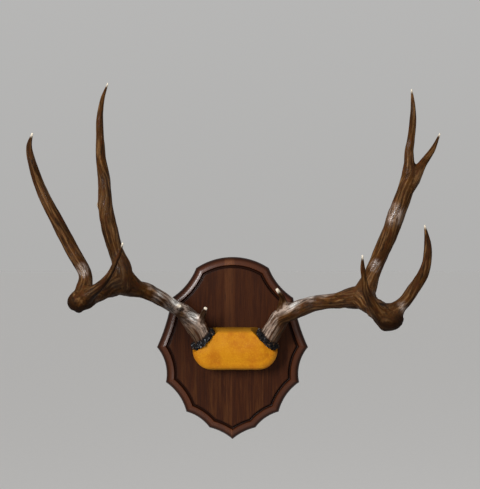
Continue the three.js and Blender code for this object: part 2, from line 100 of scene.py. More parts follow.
RIGHT_LIMBS = {
    "beam": dict(web=26, gnarl=1.0, furrows=1.0, stained_and_shaded=0, ivory=0, stations=[
        (55, 45, 14.5, 31), (61, 47.5, 23, 32), (71.5, 54, 40.5, 30.5), (80, 61, 54.5, 29.2),
        (90, 69, 61.5, 28.4), (106, 79, 68.5, 27.6), (130, 96, 78.5, 25.8), (142.5, 106, 81.5, 24.2),
        (155, 116, 83.5, 23.5), (167.5, 127, 85.5, 25), (179, 136, 88, 29), (190.5, 145, 89, 33),
        (202.5, 153, 90, 34), (209.5, 176, 85, 31), (216, 205, 79, 29.8), (222, 236, 74, 31),
        (227, 258, 69, 33), (231.5, 274, 65, 32),
    ]),
    "brow_tine": dict(web=11, gnarl=0.8, furrows=0.5, stained_and_shaded=0.5, ivory=4, stations=[
        (79.5, 64, 60, 19), (82, 72, 77, 13.6), (81.5, 77, 85.5, 10.2), (79, 81, 92, 8.2),
        (72, 87, 102, 4.6),
    ]),
    "rear_tine": dict(web=26, gnarl=0.6, furrows=0.7, stained_and_shaded=0.15, ivory=4, stations=[
        (204, 152, 93, 30), (213.5, 153, 112, 27), (223.5, 153, 137, 24), (236, 153, 165.5, 25),
        (249.5, 154, 197, 26), (257, 155, 220, 27), (266, 157, 244, 25.8), (273.5, 159, 267, 25),
        (276.5, 161, 286, 21.6), (276.5, 163, 303, 16), (276.5, 165, 321.5, 13.3), (279, 167, 337, 12),
        (281.5, 171, 367.5, 10.2), (281, 174, 391, 7.2), (278.5, 177, 415.5, 2),
    ]),
    "rear_side_tine": dict(web=10, gnarl=0.6, furrows=0.5, stained_and_shaded=0.15, ivory=4, stations=[
        (277, 160, 262, 19), (285, 159, 275, 19), (292, 158.5, 289, 16.5), (299, 157, 301, 13.2),
        (306, 155, 310.5, 11), (315.5, 152, 324, 8.3), (327.5, 148, 349.5, 2),
    ]),
    "elbow": dict(web=14, gnarl=2.4, furrows=0.8, stained_and_shaded=1.0, ivory=0, stations=[
        (226, 262, 69, 32), (232, 275, 62.5, 33), (241, 280, 61, 24),
    ]),
    "outer_front_tine": dict(web=18, gnarl=0.6, furrows=0.7, stained_and_shaded=0.2, ivory=4, stations=[
        (234, 273, 68, 26.5), (250.5, 267, 83.5, 19.4), (259, 265, 92, 18.8), (269, 263, 106.5, 19),
        (277, 262, 117, 17.8), (284.5, 262, 129.5, 16.5), (289.5, 264, 146, 13.8), (291, 266, 163, 12.2),
        (290, 269, 178, 9.8), (285, 275, 203.5, 2),
    ]),
    "inner_front_tine": dict(web=14, gnarl=0.5, furrows=0.6, stained_and_shaded=0.3, ivory=4, stations=[
        (225, 275, 68.5, 25), (214, 281, 76, 19.8), (206, 287, 88, 16), (200.5, 292, 98.5, 13.6),
        (195.5, 297, 109.5, 11.2), (192.5, 304, 128, 7.8), (190.5, 308, 140, 7), (189.5, 315, 159.5, 2),
    ]),
}

# Each antler's limbs, and the foot of its burr with the way it faces. The bone is pale near the foot, and
# painted light makes it paler on its lit side, the side facing the lamps, a direction in x, y and z:
# pale_reach is how far from the foot, the crown reach how much farther the painted light runs along the top,
# and paleness how pale. The polished patches, as x, out, z and reach, are glossy and also carry painted
# highlights.
ANTLERS = {
    "left_antler": {
        "limbs": LEFT_LIMBS,
        "burr": {"foot": (-46, 45, 14.5), "axis": (-0.646, 0.26, 0.718)},
        "lit_side": (0.3, -0.3, 0.9),
        "pale_reach": 106,
        "lit_crown_reach": 25,
        "paleness": 1.0,
        "glossy_highlight_spots": [(-68, 68, 54, 21), (-97, 86, 78, 24), (-120, 106, 93, 16), (-220, 272, 136, 15)],
        "stands_for": [
            "left_beam", "left_rear_tine", "left_front_arm",
            "left_outer_front_tine", "left_inner_front_tine",
        ],
        "seed": 11,
    },
    "right_antler": {
        "limbs": RIGHT_LIMBS,
        "burr": {"foot": (55, 45, 14.5), "axis": (0.646, 0.26, 0.718)},
        "lit_side": (0, -0.5, 0.87),
        "pale_reach": 72,
        "lit_crown_reach": 80,
        "paleness": 0.85,
        "glossy_highlight_spots": [
            (99, 92, 77, 17), (126, 106, 90, 15), (254, 167, 220, 24), (224, 165, 141, 14),
            (252, 276, 82, 12),
        ],
        "stands_for": [
            "right_beam", "right_rear_stem", "right_rear_tine", "right_rear_side_tine", "right_front_arm",
            "right_outer_front_tine", "right_inner_front_tine",
        ],
        "seed": 47,
    },
}
BURR_RADIUS = 23.5
BURR_THICKNESS = 9
# Radius and height of the disc under the knobs, from its middle at the foot to its middle on top.
BURR_DISC = [(0, 0), (18, 0), (20.6, 1.2), (21.2, 3.6), (20, 6.4), (17.5, 8.4), (0, BURR_THICKNESS)]
# Rings of knobs: radius, size of a knob, height, and how many fewer knobs than the settings say.
BURR_RINGS = [(19.6, 4.0, 3.9, 0), (20.6, 2.5, 6.4, 4), (17.0, 3.4, 7.4, 2)]
# How far a knob strays from its ring, in knob sizes, and how its own size varies.
KNOB_JITTER = [(-0.5, -0.5, -0.45), (0.5, 0.5, 0.45)]
KNOB_SIZES = [(0.6, 0.6, 0.6), (1.3, 1.3, 1.2)]
# How far above the burr its crust fades out.
BURR_FADE = 4

# What runs along the limbs: width round the limb, length along it, and the pattern's number.
WIDE_FLUTES = (4.2, 60, 1)
FINE_FLUTES = (2.8, 30, 2)
FLUTED_PATCHES = (12, 60, 3)
STREAKS = (3.0, 60, 6)
# Patterns in the bone as a whole: size and the pattern's number. Lumps are lower where a limb is thinner than
# LUMPY_RADIUS.
SLOW_LUMPS = (21, 4)
QUICK_LUMPS = (8.5, 5)
BEADS = (4.6, 90)
COARSE_CRUST = (4.2, 91)
FINE_CRUST = (2.2, 92)
PALE_RAGGEDNESS = (16, 93)
LUMPY_RADIUS = 12

# Spans over which the bone changes: how far beads and the dark foot reach from the burr, how near two limbs'
# skins are where they merge, how far flutes and lumps keep from a tip, and what counts as the upper side and
# the crown, which painted light makes paler, and the underside, which painted shade darkens.
BEADED = (28, 120)
FOOT_DARKENS = (22, 52)
LIMBS_MERGE = (0.8, 6)
FLUTES_FADE = (4, 60)
LUMPS_FADE = (0, 40)
UPPER_SIDE = (-0.1, 0.6)
CROWN_WAY = (0, -0.35, 0.94)
CROWN_SIDE = (0.45, 0.95)
SHADED_UNDERSIDE = (0.0, -0.8)

# Right half of the shield's outline from top to bottom: each stretch ends at a corner (x, z) and
# bows by its sag, outwards where that is positive.
ARCH_TOP_Z = 153
ARCH_END = (61, 134.5)
SCALLOPS = [
    ((102, 84.5), -5), ((127, 1.5), -3), ((112, -57.5), -7), ((77.5, -107), -5.5), ((38.5, -133.5), -4),
    ((0, -153), -2.5),
]
SHIELD_THICKNESS = 19
BACK_CHAMFER = 1

# The routed moulding in stretches with sharp corners between them: distance in from the edge, and height
# above the wall. The field has one more row of points at its inset, and FACE_MARGIN tells faces apart.
OUTER_WALL = [(0, 1), (0, 6.5)]
SWELL = [(0, 6.5), (1.4, 10.2), (4.6, 13.9), (8.8, 16.4), (13, 17.4)]
ROUTED_GROOVE = [
    (13, 17.4), (13.6, 16), (14.8, 14.9), (16.2, 14.5), (17.2, 15.1), (17.7, 16.6), (17.9, 18.5),
]
FIELD_EDGE = [(17.9, 18.5), (18.05, 18.85), (18.4, SHIELD_THICKNESS)]
FIELD_INSET = 20
FACE_MARGIN = 0.5

# Where the shield's finish changes, as spans of the distance in from its edge. Painted shade darkens the
# outer wall and the routed groove.
MOULDING_WIDTH = 17.6
OUTER_SHADE = (1.5, 8.5)
CREST_STARTS = (4, 7.5)
CREST_ENDS = (12.4, 13.2)
GROOVE_STARTS = (12.6, 14.2)
GROOVE_ENDS = (17.9, 19.0)

# Skull plate under its leather. Its foot and crown are insets of the outline, with heights over the shield
# and over the cap's own height.
CAP_EDGES = {"left": -66, "right": 75, "top": 36, "bottom": -33}
CAP_LOWER_RADIUS = 33.5
CAP_UPPER_RADIUS = 14
CAP_HEIGHT = 38
CAP_ROLL = 13
CAP_FOOT = [(0.6, 0), (0, 1.2), (0, 6), (0, 12), (0, 18)]
CAP_CROWN = [(18, 1.8), (24, 3.4), (30, 4.4)]
# Its leather: waves, as size and the pattern's number, the spans in which painted shade darkens it where it
# is turned under and along its top and bottom, and the spans in which the burrs press it.
SLOW_WAVES = (17, 5)
QUICK_WAVES = (7, 6)
TURNED_UNDER = (0, 7)
BELOW_TOP = (2.5, 9)
ABOVE_BOTTOM = (1, 5)
PRESSED_DEPTH = (0, 5)
PRESSED_REACH = (23, 30)
CLEARANCE = 0.3

# Hardware on the back.
SKULL_SCREWS = [(-30, 4), (38, 4)]
SKULL_SCREW = {"head": 9, "head_height": 4.2, "shank": 4.5, "length": 36, "sunk": 0.5}
HANGER = {"z": 96, "width": 16, "height": 50, "thickness": 1.6, "sunk": 0.2}
KEYHOLE = {"round": 10, "slot": 5.2, "rise": 10}
HEAD_POCKET = {"width": 12, "height": 25, "depth": 8.5, "start": 1}
HANGER_SCREW = {"head": 6.4, "head_height": 1.8, "shank": 3, "length": 12, "sunk": 0.3}
HANGER_SCREWS = [(0, HANGER["z"] - 19), (0, HANGER["z"] + 19)]
PLATE_SOFTNESS = 0.22
# How far a cutter stands proud of what it cuts.
PROUD = 1
# Screws: the head's softened corner and rim and the neck's length, then shares of the shank for the core, the
# point and the pitch, and shares of the head for the recess.
HEAD_SOFTNESS = 0.15
HEAD_RIM = 0.4
NECK = 2
CORE_SHARE = 0.8
POINT_SHARE = 0.2
PITCH_SHARE = 0.42
RECESS = {"arm": 0.3, "across": 1.15, "taper": 0.6, "depth": 0.5}

# The two boards of the shield are glued along this line, and a knot lies in the right one, where it bends
# the grain. The left board's pattern is shifted, in metres, because it is cut from another place.
GLUE_LINE_X = -1.5
KNOT = {"x": 29, "z": 76, "reach": 26, "bend": 9}
BOARD_SHIFT = 0.31
# Spans in the wood: the sapwood stripe's two edges in x and its rise in z, the glue line's half width and its
# rise, and where light streaks grow stronger.
SAP_LEFT = (-12, -9)
SAP_RIGHT = (5, -1.6)
SAP_RISE = (-70, 90)
SAP_WANDER = 5
GLUE_WIDTH = (0.2, 0.9)
GLUE_RISE = (20, -60)
STREAKS_RISE = (50, -60)

# Camera: its place in mm, and its focal length on a 36 mm sensor across the longer side of a 480 x 489
# image.
CAMERA_PLACE = (12.6, -2200, 174)
SENSOR = 36
IMAGE_HEIGHT = 489
FOCAL_PIXELS = 1305
CLIP_END = 200

# Stage, in metres: half the floor's side, the point the lights face, and each light's place and size.
FLOOR_REACH = 60.0
LIT_POINT = (0.0, -0.12, 0.1)
KEY_LIGHT = {"place": (-1.5, -2.55, 1.0), "size": (0.7, 1.3), "spread": math.radians(100)}
FILL_LIGHT = {"place": (2.4, -2.0, 1.2), "size": (1.6, 1.6), "spread": math.pi}


# ------------------------------------------------------------------ settings

def colour(name, description, default):
    return FloatVectorProperty(
        name=name, description=description, default=default, subtype="COLOR", size=3, min=0.0, max=1.0
    )


def length(name, description, default):
    return FloatProperty(
        name=name, description=description, default=default, min=0.0, subtype="DISTANCE", unit="LENGTH"
    )


def power(name, description, default):
    return FloatProperty(name=name, description=description, default=default, min=0.0, unit="POWER")


class AntlerSettings(bpy.types.PropertyGroup):
    """Sizes and colours of the antlers."""

    skin_pitch: length("Skin Pitch", "Distance between points of the antlers' skin", 1.02 * MM)
    groove_depth: length("Groove Depth", "Depth of the flutes that run along the limbs", 0.6 * MM)
    lump_height: length("Lump Height", "Height of the slow swellings of the limbs", 0.9 * MM)
    pearl_height: length("Pearl Height", "Height of the beads of bone near the burrs", 1.1 * MM)
    crust_height: length("Crust Height", "Height of the broken crust on the burrs", 2.0 * MM)
    burr_pearls: IntProperty(
        name="Burr Pearls", description="Knobs round each burr", default=15, min=5, max=40
    )
    rind: colour("Rind", "Stained brown rind of the limbs", (0.040, 0.0155, 0.0040))
    groove: colour("Groove", "Dark floor of the furrows and pores", (0.007, 0.0032, 0.0018))
    worn: colour("Worn", "Rubbed lines between the furrows", (0.20, 0.100, 0.036))
    ochre: colour("Ochre", "Orange patches in the rind", (0.098, 0.037, 0.006))
    russet: colour("Russet", "Reddish flecks in the rind", (0.076, 0.020, 0.005))
    # Pale bone above the burrs, also painted paler as light on the side facing the lamps.
    bleached_and_lit: colour("Bleached", "Pale bone above the burrs", (0.64, 0.51, 0.425))
    # Painted highlight: white laid on the glossy patches of pale bone.
    highlight_white: colour("Buffed", "Bone rubbed white", (0.93, 0.88, 0.82))
    ivory: colour("Ivory", "Polished tips", (0.70, 0.62, 0.50))
    # Multiplies the rind for real stain and for painted shade on the undersides and the low limbs.
    grime_and_shade: colour("Grime", "Multiplies the rind's colour where it is stained", (0.17, 0.145, 0.09))
    burr: colour("Burr", "Blackened burr", (0.008, 0.0075, 0.008))
    # Worn specks on the burr, partly painted glints.
    specks_and_glints: colour("Chalk", "Worn specks on the burr", (0.25, 0.27, 0.29))


class LeatherSettings(bpy.types.PropertyGroup):
    """Sizes and colours of the leather-covered skull plate."""

    skin_pitch: length("Skin Pitch", "Distance between points of the leather's skin", 1.1 * MM)
    unevenness: length("Unevenness", "Height of the leather's slow waves", 0.35 * MM)
    golden: colour("Golden", "The leather's main colour", (0.45, 0.176, 0.0022))
    amber: colour("Amber", "Deeper spots in the leather", (0.37, 0.118, 0.0015))
    straw: colour("Straw", "Rubbed light specks in the leather", (0.58, 0.28, 0.014))
    # Painted shade where the leather is turned under and along its top and bottom.
    rim: colour("Rim", "Leather darkened where it is turned under", (0.145, 0.066, 0.004))


class WalnutSettings(bpy.types.PropertyGroup):
    """Sizes and colours of the shield."""

    step: length("Outline Step", "Distance between points along the shield's outline", 2.5 * MM)
    heart: colour("Heartwood", "Main colour of the boards", (0.073, 0.0200, 0.0058))
    dark: colour("Dark Figure", "Dark bands in the grain", (0.029, 0.0084, 0.0037))
    ochre: colour("Ochre Figure", "Light streaks in the grain", (0.130, 0.050, 0.014))
    sap: colour("Sapwood", "Light stripe beside the glue line", (0.145, 0.050, 0.016))
    moulding: colour("Moulding", "Shaped edge, where the grain runs out", (0.054, 0.0120, 0.0016))
    # Painted shade in the routed groove and on the outer wall under the edge.
    groove: colour("Routed Groove", "Stain in the groove and under the edge", (0.010, 0.0028, 0.0014))
    bare: colour("Bare Back", "Unfinished wood of the back", (0.25, 0.150, 0.085))


class HardwareSettings(bpy.types.PropertyGroup):
    """Colours of the hanger plate and the screws."""

    zinc: colour("Zinc", "Bright zinc plating", (0.56, 0.54, 0.48))
    thread_height: length("Thread Height", "Height of the screws' threads", 0.45 * MM)


class StageSettings(bpy.types.PropertyGroup):
    """Floor, lights and camera."""

    floor_drop: length("Floor Drop", "How far the floor lies under the shield's middle", 1.1)
    floor: colour("Floor", "Plain pale floor", (0.80, 0.79, 0.775))
    overhead: colour("Overhead", "Light of the surroundings from above", (0.60, 0.60, 0.60))
    horizon: colour("Horizon", "Light of the surroundings from the sides", (0.44, 0.437, 0.43))
    key_power: power("Key Light", "Light from the left", 32.0)
    fill_power: power("Fill Light", "Soft light from the right", 5.0)


# ------------------------------------------------------------------ small tools

def place(x, out, z):
    """A point given in millimetres as x, distance out from the wall and z, in metres."""
    return np.array([x, -out, z], float) * MM


def in_mm(span):
    """The ends of a span that is given in millimetres, in metres."""
    return (end * MM for end in span)


def smooth_step(low, high, value):
    """0 up to low and 1 from high, with a soft slope between them."""
    t = np.clip((value - low) / (high - low), 0, 1)
    return t * t * (3 - 2 * t)


HASH_FACTORS = (374761393, 668265263, 1442695041)
HASH_MIXER = 1274126177
HASH_SEED = 977
NOISE_GAIN = 1.7


def noise(points, seed):
    """Smooth noise of about -1 to 1 at each of N points, one lattice cell to a unit."""
    cell = np.floor(points).astype(np.int64)
    local = points - cell
    fade = local**3 * (local * (local * 6 - 15) + 10)
    total = np.zeros(len(points))
    for corner in np.ndindex(2, 2, 2):
        lattice = cell + corner
        mixed = sum(lattice[:, axis] * HASH_FACTORS[axis] for axis in range(3)) + seed * HASH_SEED
        mixed = (mixed ^ (mixed >> 13)) * HASH_MIXER
        mixed ^= mixed >> 16
        turn = (mixed & 255) * (2 * math.pi / 256)
        rise = ((mixed >> 8) & 255) / 127.5 - 1
        flat = np.sqrt(1 - rise * rise)
        offset = local - corner
        slope = flat * (np.cos(turn) * offset[:, 0] + np.sin(turn) * offset[:, 1]) + rise * offset[:, 2]
        total += slope * np.prod(np.where(corner, fade, 1 - fade), axis=1)
    return total * NOISE_GAIN


def pattern(points, size_and_number, seed=0):
    """Noise of a size in millimetres, with the number of its pattern added to the seed."""
    size, number = size_and_number
    return noise(points / (size * MM), seed + number)


def rows_of(collection, key, count):
    flat = np.empty(count * 3, np.float32)
    collection.foreach_get(key, flat)
    return flat.reshape(-1, 3).astype(float)


def points_of(mesh):
    return rows_of(mesh.vertices, "co", len(mesh.vertices))


def normals_of(mesh):
    return rows_of(mesh.vertex_normals, "vector", len(mesh.vertices))


def move_points(mesh, points):
    mesh.vertices.foreach_set("co", points.astype(np.float32).ravel())
    mesh.update()


def store(mesh, name, values):
    """Keeps one number, or one vector, for each point of a mesh under a name that a material reads."""
    kind, key = ("FLOAT", "value") if values.ndim == 1 else ("FLOAT_VECTOR", "vector")
    attribute = mesh.attributes.new(name, kind, "POINT")
    attribute.data.foreach_set(key, values.astype(np.float32).ravel())


def relax(mesh, points, passes, strength=0.5, held=None):
    """Points drawn towards the mean of their neighbours. held is 1 where one stays, 0 where it is free."""
    edges = np.empty(len(mesh.edges) * 2, np.int32)
    mesh.edges.foreach_get("vertices", edges)
    one, other = edges.reshape(-1, 2).T
    count = np.bincount(one, minlength=len(points)) + np.bincount(other, minlength=len(points))
    free = strength if held is None else (strength * (1 - held))[:, None]
    for _ in range(passes):
        mean = np.empty_like(points)
        for axis in range(3):
            total = np.bincount(one, points[other, axis], len(points))
            total += np.bincount(other, points[one, axis], len(points))
            mean[:, axis] = total / count
        points = points + (mean - points) * free
    return points


def mesh_of(name, points, faces):
    mesh = bpy.data.meshes.new(name)
    mesh.from_pydata([tuple(p) for p in points], [], faces)
    mesh.update()
    return mesh


def object_of(name, mesh):
    made = bpy.data.objects.new(name, mesh)
    bpy.context.scene.collection.objects.link(made)
    return made


def plain_copy(carrier, name):
    """The carrier's shape with its modifiers worked out, as a plain mesh. The carrier is removed."""
    graph = bpy.context.evaluated_depsgraph_get()
    mesh = bpy.data.meshes.new_from_object(carrier.evaluated_get(graph))
    mesh.name = name
    carrier.modifiers.clear()
    bpy.data.objects.remove(carrier)
    return mesh


def joined(name, meshes):
    """Several meshes as one, without their materials and attributes."""
    points = np.concatenate([points_of(mesh) for mesh in meshes])
    faces = []
    first = 0
    for mesh in meshes:
        faces += [tuple(first + v for v in face.vertices) for face in mesh.polygons]
        first += len(mesh.vertices)
    return mesh_of(name, points, faces)


def modify(carrier, kind, **settings):
    modifier = carrier.modifiers.new(kind.title(), kind)
    for key, value in settings.items():
        setattr(modifier, key, value)
    return modifier


def skinned(name, mesh, pitch):
    """One even closed skin round everything that a mesh holds."""
    carrier = object_of(name, mesh)
    modify(carrier, "REMESH", mode="VOXEL", voxel_size=pitch, adaptivity=0)
    return plain_copy(carrier, name)


def carve(name, mesh, cutters):
    """A mesh with cutters taken out of it."""
    carrier = object_of(name, mesh)
    others = [object_of("cutter", cutter) for cutter in cutters]
    for other in others:
        modify(carrier, "BOOLEAN", operation="DIFFERENCE", solver="EXACT", object=other)
    made = plain_copy(carrier, name)
    for other in others:
        bpy.data.objects.remove(other)
    return made


def shade(mesh, sharp_degrees):
    """Smooth shading, with the edges that turn by more than an angle kept sharp."""
    mesh.shade_smooth()
    mesh.set_sharp_from_angle(angle=math.radians(sharp_degrees))


def finish_piece(name, mesh, material, stands_for):
    """The finished piece on its body, in place of its CAD nodes."""
    if not mesh.polygons:
        raise RuntimeError(f"{name} came out empty")
    mesh.name = name
    mesh.materials.clear()
    mesh.materials.append(material)
    piece = object_of(name, mesh)
    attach(piece, BODY)
    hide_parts(*stands_for)
    return piece


# ------------------------------------------------------------------ node trees

def geometry_tree(name, inputs):
    """A Geometry Nodes tree with named inputs, given as (name, socket type, default)."""
    tree = bpy.data.node_groups.new(name, "GeometryNodeTree")
    tree.interface.new_socket("Geometry", in_out="INPUT", socket_type="NodeSocketGeometry")
    tree.interface.new_socket("Geometry", in_out="OUTPUT", socket_type="NodeSocketGeometry")
    for label, kind, default in inputs:
        socket = tree.interface.new_socket(label, in_out="INPUT", socket_type=kind)
        if default is not None:
            socket.default_value = default
    return tree, tree.nodes.new("NodeGroupInput").outputs, tree.nodes.new("NodeGroupOutput").inputs


def node(tree, kind, inputs=None, **settings):
    """Adds a node. An input is a value or the socket that feeds it, by name or by number."""
    made = tree.nodes.new(kind)
    for key, value in settings.items():
        setattr(made, key, value)
    for key, value in (inputs or {}).items():
        if isinstance(value, bpy.types.NodeSocket):
            tree.links.new(value, made.inputs[key])
        else:
            made.inputs[key].default_value = value
    return made


def close_tree(tree, geometry, material, output):
    """Ends a tree in real geometry with its material."""
    real = node(tree, "GeometryNodeRealizeInstances", {"Geometry": geometry})
    painted = node(tree, "GeometryNodeSetMaterial", {"Geometry": real.outputs[0], "Material": material})
    tree.links.new(painted.outputs[0], output)


def grow(name, carrier, tree, values):
    """What a tree makes of the carrier's mesh, as a plain mesh."""
    modifier = modify(carrier, "NODES", node_group=tree)
    for item in tree.interface.items_tree:
        if item.in_out == "INPUT" and item.name in values:
            modifier[item.identifier] = values[item.name]
    return plain_copy(carrier, name)


class Paint:
    """Builds a material's nodes, one call for each."""

    def __init__(self, name):
        self.material = bpy.data.materials.new(name)
        self.material.use_nodes = True
        self.tree = self.material.node_tree
        self.shader = next(n for n in self.tree.nodes if n.type == "BSDF_PRINCIPLED")
        self.place = self.add("ShaderNodeTexCoord").outputs["Object"]

    def add(self, kind, inputs=None, **settings):
        return node(self.tree, kind, inputs, **settings)

    def kept(self, name, vector=False):
        """A value stored on the mesh."""
        return self.add("ShaderNodeAttribute", attribute_name=name).outputs["Vector" if vector else "Fac"]

    def stretched(self, vector, scale):
        return self.add("ShaderNodeMapping", {"Vector": vector, "Scale": scale}).outputs[0]

    def noise(self, vector, scale, detail=4.0, roughness=0.55, distortion=0.0):
        shape = {"Scale": scale, "Detail": detail, "Roughness": roughness, "Distortion": distortion}
        return self.add("ShaderNodeTexNoise", {"Vector": vector, **shape}).outputs["Fac"]

    def cells(self, vector, scale, feature="F1"):
        inputs = {"Vector": vector, "Scale": scale}
        return self.add("ShaderNodeTexVoronoi", inputs, feature=feature).outputs["Distance"]

    def compute(self, operation, one, other=0.0, third=0.0):
        return self.add("ShaderNodeMath", {0: one, 1: other, 2: third}, operation=operation).outputs[0]

    def times(self, one, other):
        return self.compute("MULTIPLY", one, other)

    def plus(self, base, value, share):
        """The base with a share of another value added to it."""
        return self.compute("MULTIPLY_ADD", value, share, base)

    def most(self, one, other):
        return self.compute("MAXIMUM", one, other)

    def between(self, share, one, other):
        """A value that goes from one to the other as share goes from 0 to 1."""
        return self.add("ShaderNodeMix", {0: share, 2: one, 3: other}, data_type="FLOAT").outputs[0]

    def span(self, value, low, high, bottom=0.0, top=1.0):
        """A value moved from the span low to high into the span bottom to top, and kept in it."""
        inputs = {"Value": value, "From Min": low, "From Max": high, "To Min": bottom, "To Max": top}
        return self.add("ShaderNodeMapRange", inputs).outputs[0]

    def blend(self, share, one, other, how="MIX"):
        mixer = self.add("ShaderNodeMix", data_type="RGBA", blend_type=how)
        for socket, value in ((0, share), (6, one), (7, other)):
            if isinstance(value, bpy.types.NodeSocket):
                self.tree.links.new(value, mixer.inputs[socket])
            else:
                mixer.inputs[socket].default_value = (*value, 1) if socket else value
        return mixer.outputs[2]

    def layered(self, tone, layers):
        """A colour with others laid over it in turn, each given as its share and the colour."""
        for share, colour_above in layers:
            tone = self.blend(share, tone, colour_above)
        return tone

    def bump(self, height, distance, strength=1.0, onto=None):
        inputs = {"Height": height, "Distance": distance, "Strength": strength}
        if onto is not None:
            inputs["Normal"] = onto
        return self.add("ShaderNodeBump", inputs).outputs[0]

    def finish(self, **inputs):
        """Feeds the shader: a link for what varies, a value for what is the same all over."""
        for key, value in inputs.items():
            socket = self.shader.inputs[key.replace("_", " ")]
            if isinstance(value, bpy.types.NodeSocket):
                self.tree.links.new(value, socket)
            else:
                socket.default_value = value
        return self.material


# ------------------------------------------------------------------ finishes

# Noise patterns: cells per metre, detail, roughness and distortion.
STRAND = (430, 5, 0.64)
STRAND_AT_FORKS = (240,)
HAIR = (1100, 3)
HAIR_AT_FORKS = (700,)
MOTTLE = (250, 5, 0.66)
MOTTLE_AT_FORKS = (210, 5, 0.66)
BLOTCHES = (34, 4, 0.6)
FLECKS = (620, 3, 0.6)
HANDLED_PLACES = (26, 2)
LEATHER_MOTTLE = (38, 5, 0.62)
LEATHER_SPECKLE = (420, 4, 0.7)
GRAIN_BANDS = (95, 4, 0.6, 0.5)
GRAIN_LINES = (420, 4, 0.65, 0.25)
WOOD_PORES = (1700, 2)
WOOD_DRIFT = (14, 2)
ZINC_CLOUDS = (240, 4)
ZINC_SCRATCHES = (2600, 2)
FLOOR_SPECKLE = (30, 3)

# Cells per metre.
LEATHER_PEBBLES = 950
LEATHER_CREASES = 210


def antler_finish(settings):
    """Stained rind with dark lines, pale above the black burr, ivory tips; painted light, highlights and
    shade.
    """
    paint = Paint("antler bone")
    bleached_and_lit, burr, merging = paint.kept("bleached_and_lit"), paint.kept("burr"), paint.kept("merging")
    stained_and_shaded, gloss_and_highlight = paint.kept("stained_and_shaded"), paint.kept("polish")
    fibre = paint.kept("fibre", vector=True)

    def grown(place_in_fibre, grain, grain_at_forks):
        """Noise that follows the fibre and loses its direction where limbs meet."""
        at_forks = paint.noise(paint.place, *grain_at_forks)
        return paint.between(merging, paint.noise(place_in_fibre, *grain), at_forks)

    strand = grown(fibre, STRAND, STRAND_AT_FORKS)
    hair = grown(fibre, HAIR, HAIR_AT_FORKS)
    mottle = grown(paint.stretched(fibre, (1, 1, 3)), MOTTLE, MOTTLE_AT_FORKS)
    blotch = paint.noise(paint.place, *BLOTCHES)
    fleck = paint.noise(paint.place, *FLECKS)

    # Cracks run where the strands cross their middle value, and are wider in pale bone.
    off_middle = paint.compute("ABSOLUTE", paint.compute("SUBTRACT", strand, 0.5))
    cracks = paint.span(off_middle, 0.008, paint.plus(0.035, bleached_and_lit, 0.045), 1.0, 0.0)
    cracks = paint.times(cracks, paint.compute("SUBTRACT", 1.0, merging))
    dark = paint.times(cracks, paint.plus(0.65, bleached_and_lit, 0.3))
    dark = paint.most(dark, paint.times(paint.kept("groove"), 0.55))
    dark = paint.most(dark, paint.span(hair, 0.40, 0.30, 0.0, 0.8))

    rubbed = paint.plus(paint.times(hair, 0.25), strand, 0.6)
    rubbed = paint.plus(rubbed, paint.kept("streak"), 0.4)
    # Rubbed pale lines, a little more of them where the glossy patches carry painted highlights.
    rubbed_and_highlit = paint.span(paint.plus(rubbed, gloss_and_highlight, 0.08), 0.50, 0.74, 0.05, 1.0)
    # Pale bone, painted paler on the side facing the lamps.
    clean_and_lit = paint.times(bleached_and_lit, rubbed_and_highlit)
    # Painted highlight: pale mottles on the glossy patches.
    mottled_highlight = paint.times(gloss_and_highlight, paint.span(mottle, 0.47, 0.60, 0.0, 0.6))
    rind = paint.layered(settings.rind, [
        (paint.span(blotch, 0.42, 0.62, 0.1, 0.9), settings.ochre),
        (paint.span(mottle, 0.50, 0.62, 0.0, 0.75), settings.russet),
        (paint.span(mottle, 0.46, 0.34, 0.0, 0.8), settings.groove),
        (paint.span(rubbed, 0.62, 0.86, 0.0, 0.8), settings.worn),
    ])
    # Darkened for real stain and for painted shade on the undersides and the low limbs.
    rind = paint.blend(stained_and_shaded, rind, settings.grime_and_shade, how="MULTIPLY")

    # Light specks on the burr: partly worn, partly painted glints.
    speck_and_glint_share = paint.times(paint.span(mottle, 0.50, 0.56), paint.span(paint.kept("crust"), 0.25, 0.75))
    speck_and_glint_share = paint.times(speck_and_glint_share, paint.span(fleck, 0.46, 0.56))
    specks_and_glints = paint.blend(paint.span(blotch, 0.46, 0.54), settings.specks_and_glints, settings.worn)
    tone = paint.layered(rind, [
        # Painted light and highlights: pale bone, paler on the lit side, and white on the glossy patches.
        (mottled_highlight, settings.bleached_and_lit),
        (clean_and_lit, settings.bleached_and_lit),
        (paint.span(paint.times(clean_and_lit, gloss_and_highlight), 0.1, 0.6), settings.highlight_white),
        (dark, settings.groove),
        (burr, paint.blend(speck_and_glint_share, settings.burr, specks_and_glints)),
        (paint.kept("ivory"), settings.ivory),
    ])

    handled = paint.span(paint.noise(paint.place, *HANDLED_PLACES), 0.46, 0.66, 0.0, 0.2)
    handled = paint.times(handled, paint.span(stained_and_shaded, 0.3, 1.0, 1.0, 0.3))
    polish = paint.times(paint.most(handled, gloss_and_highlight), paint.compute("SUBTRACT", 1.0, burr))
    matt = paint.plus(paint.plus(0.58, dark, 0.12), polish, -0.25)
    height = paint.plus(paint.times(hair, 0.8), cracks, -0.9)
    surface = paint.bump(fleck, 0.08 * MM, 0.4, onto=paint.bump(height, 0.18 * MM, 0.5))
    return paint.finish(
        Base_Color=tone,
        Roughness=paint.plus(matt, fleck, 0.12),
        Normal=surface,
        Specular_IOR_Level=0.04,
        Coat_Weight=paint.times(polish, 0.9),
        Coat_Roughness=0.2,
        Coat_Normal=surface,
    )


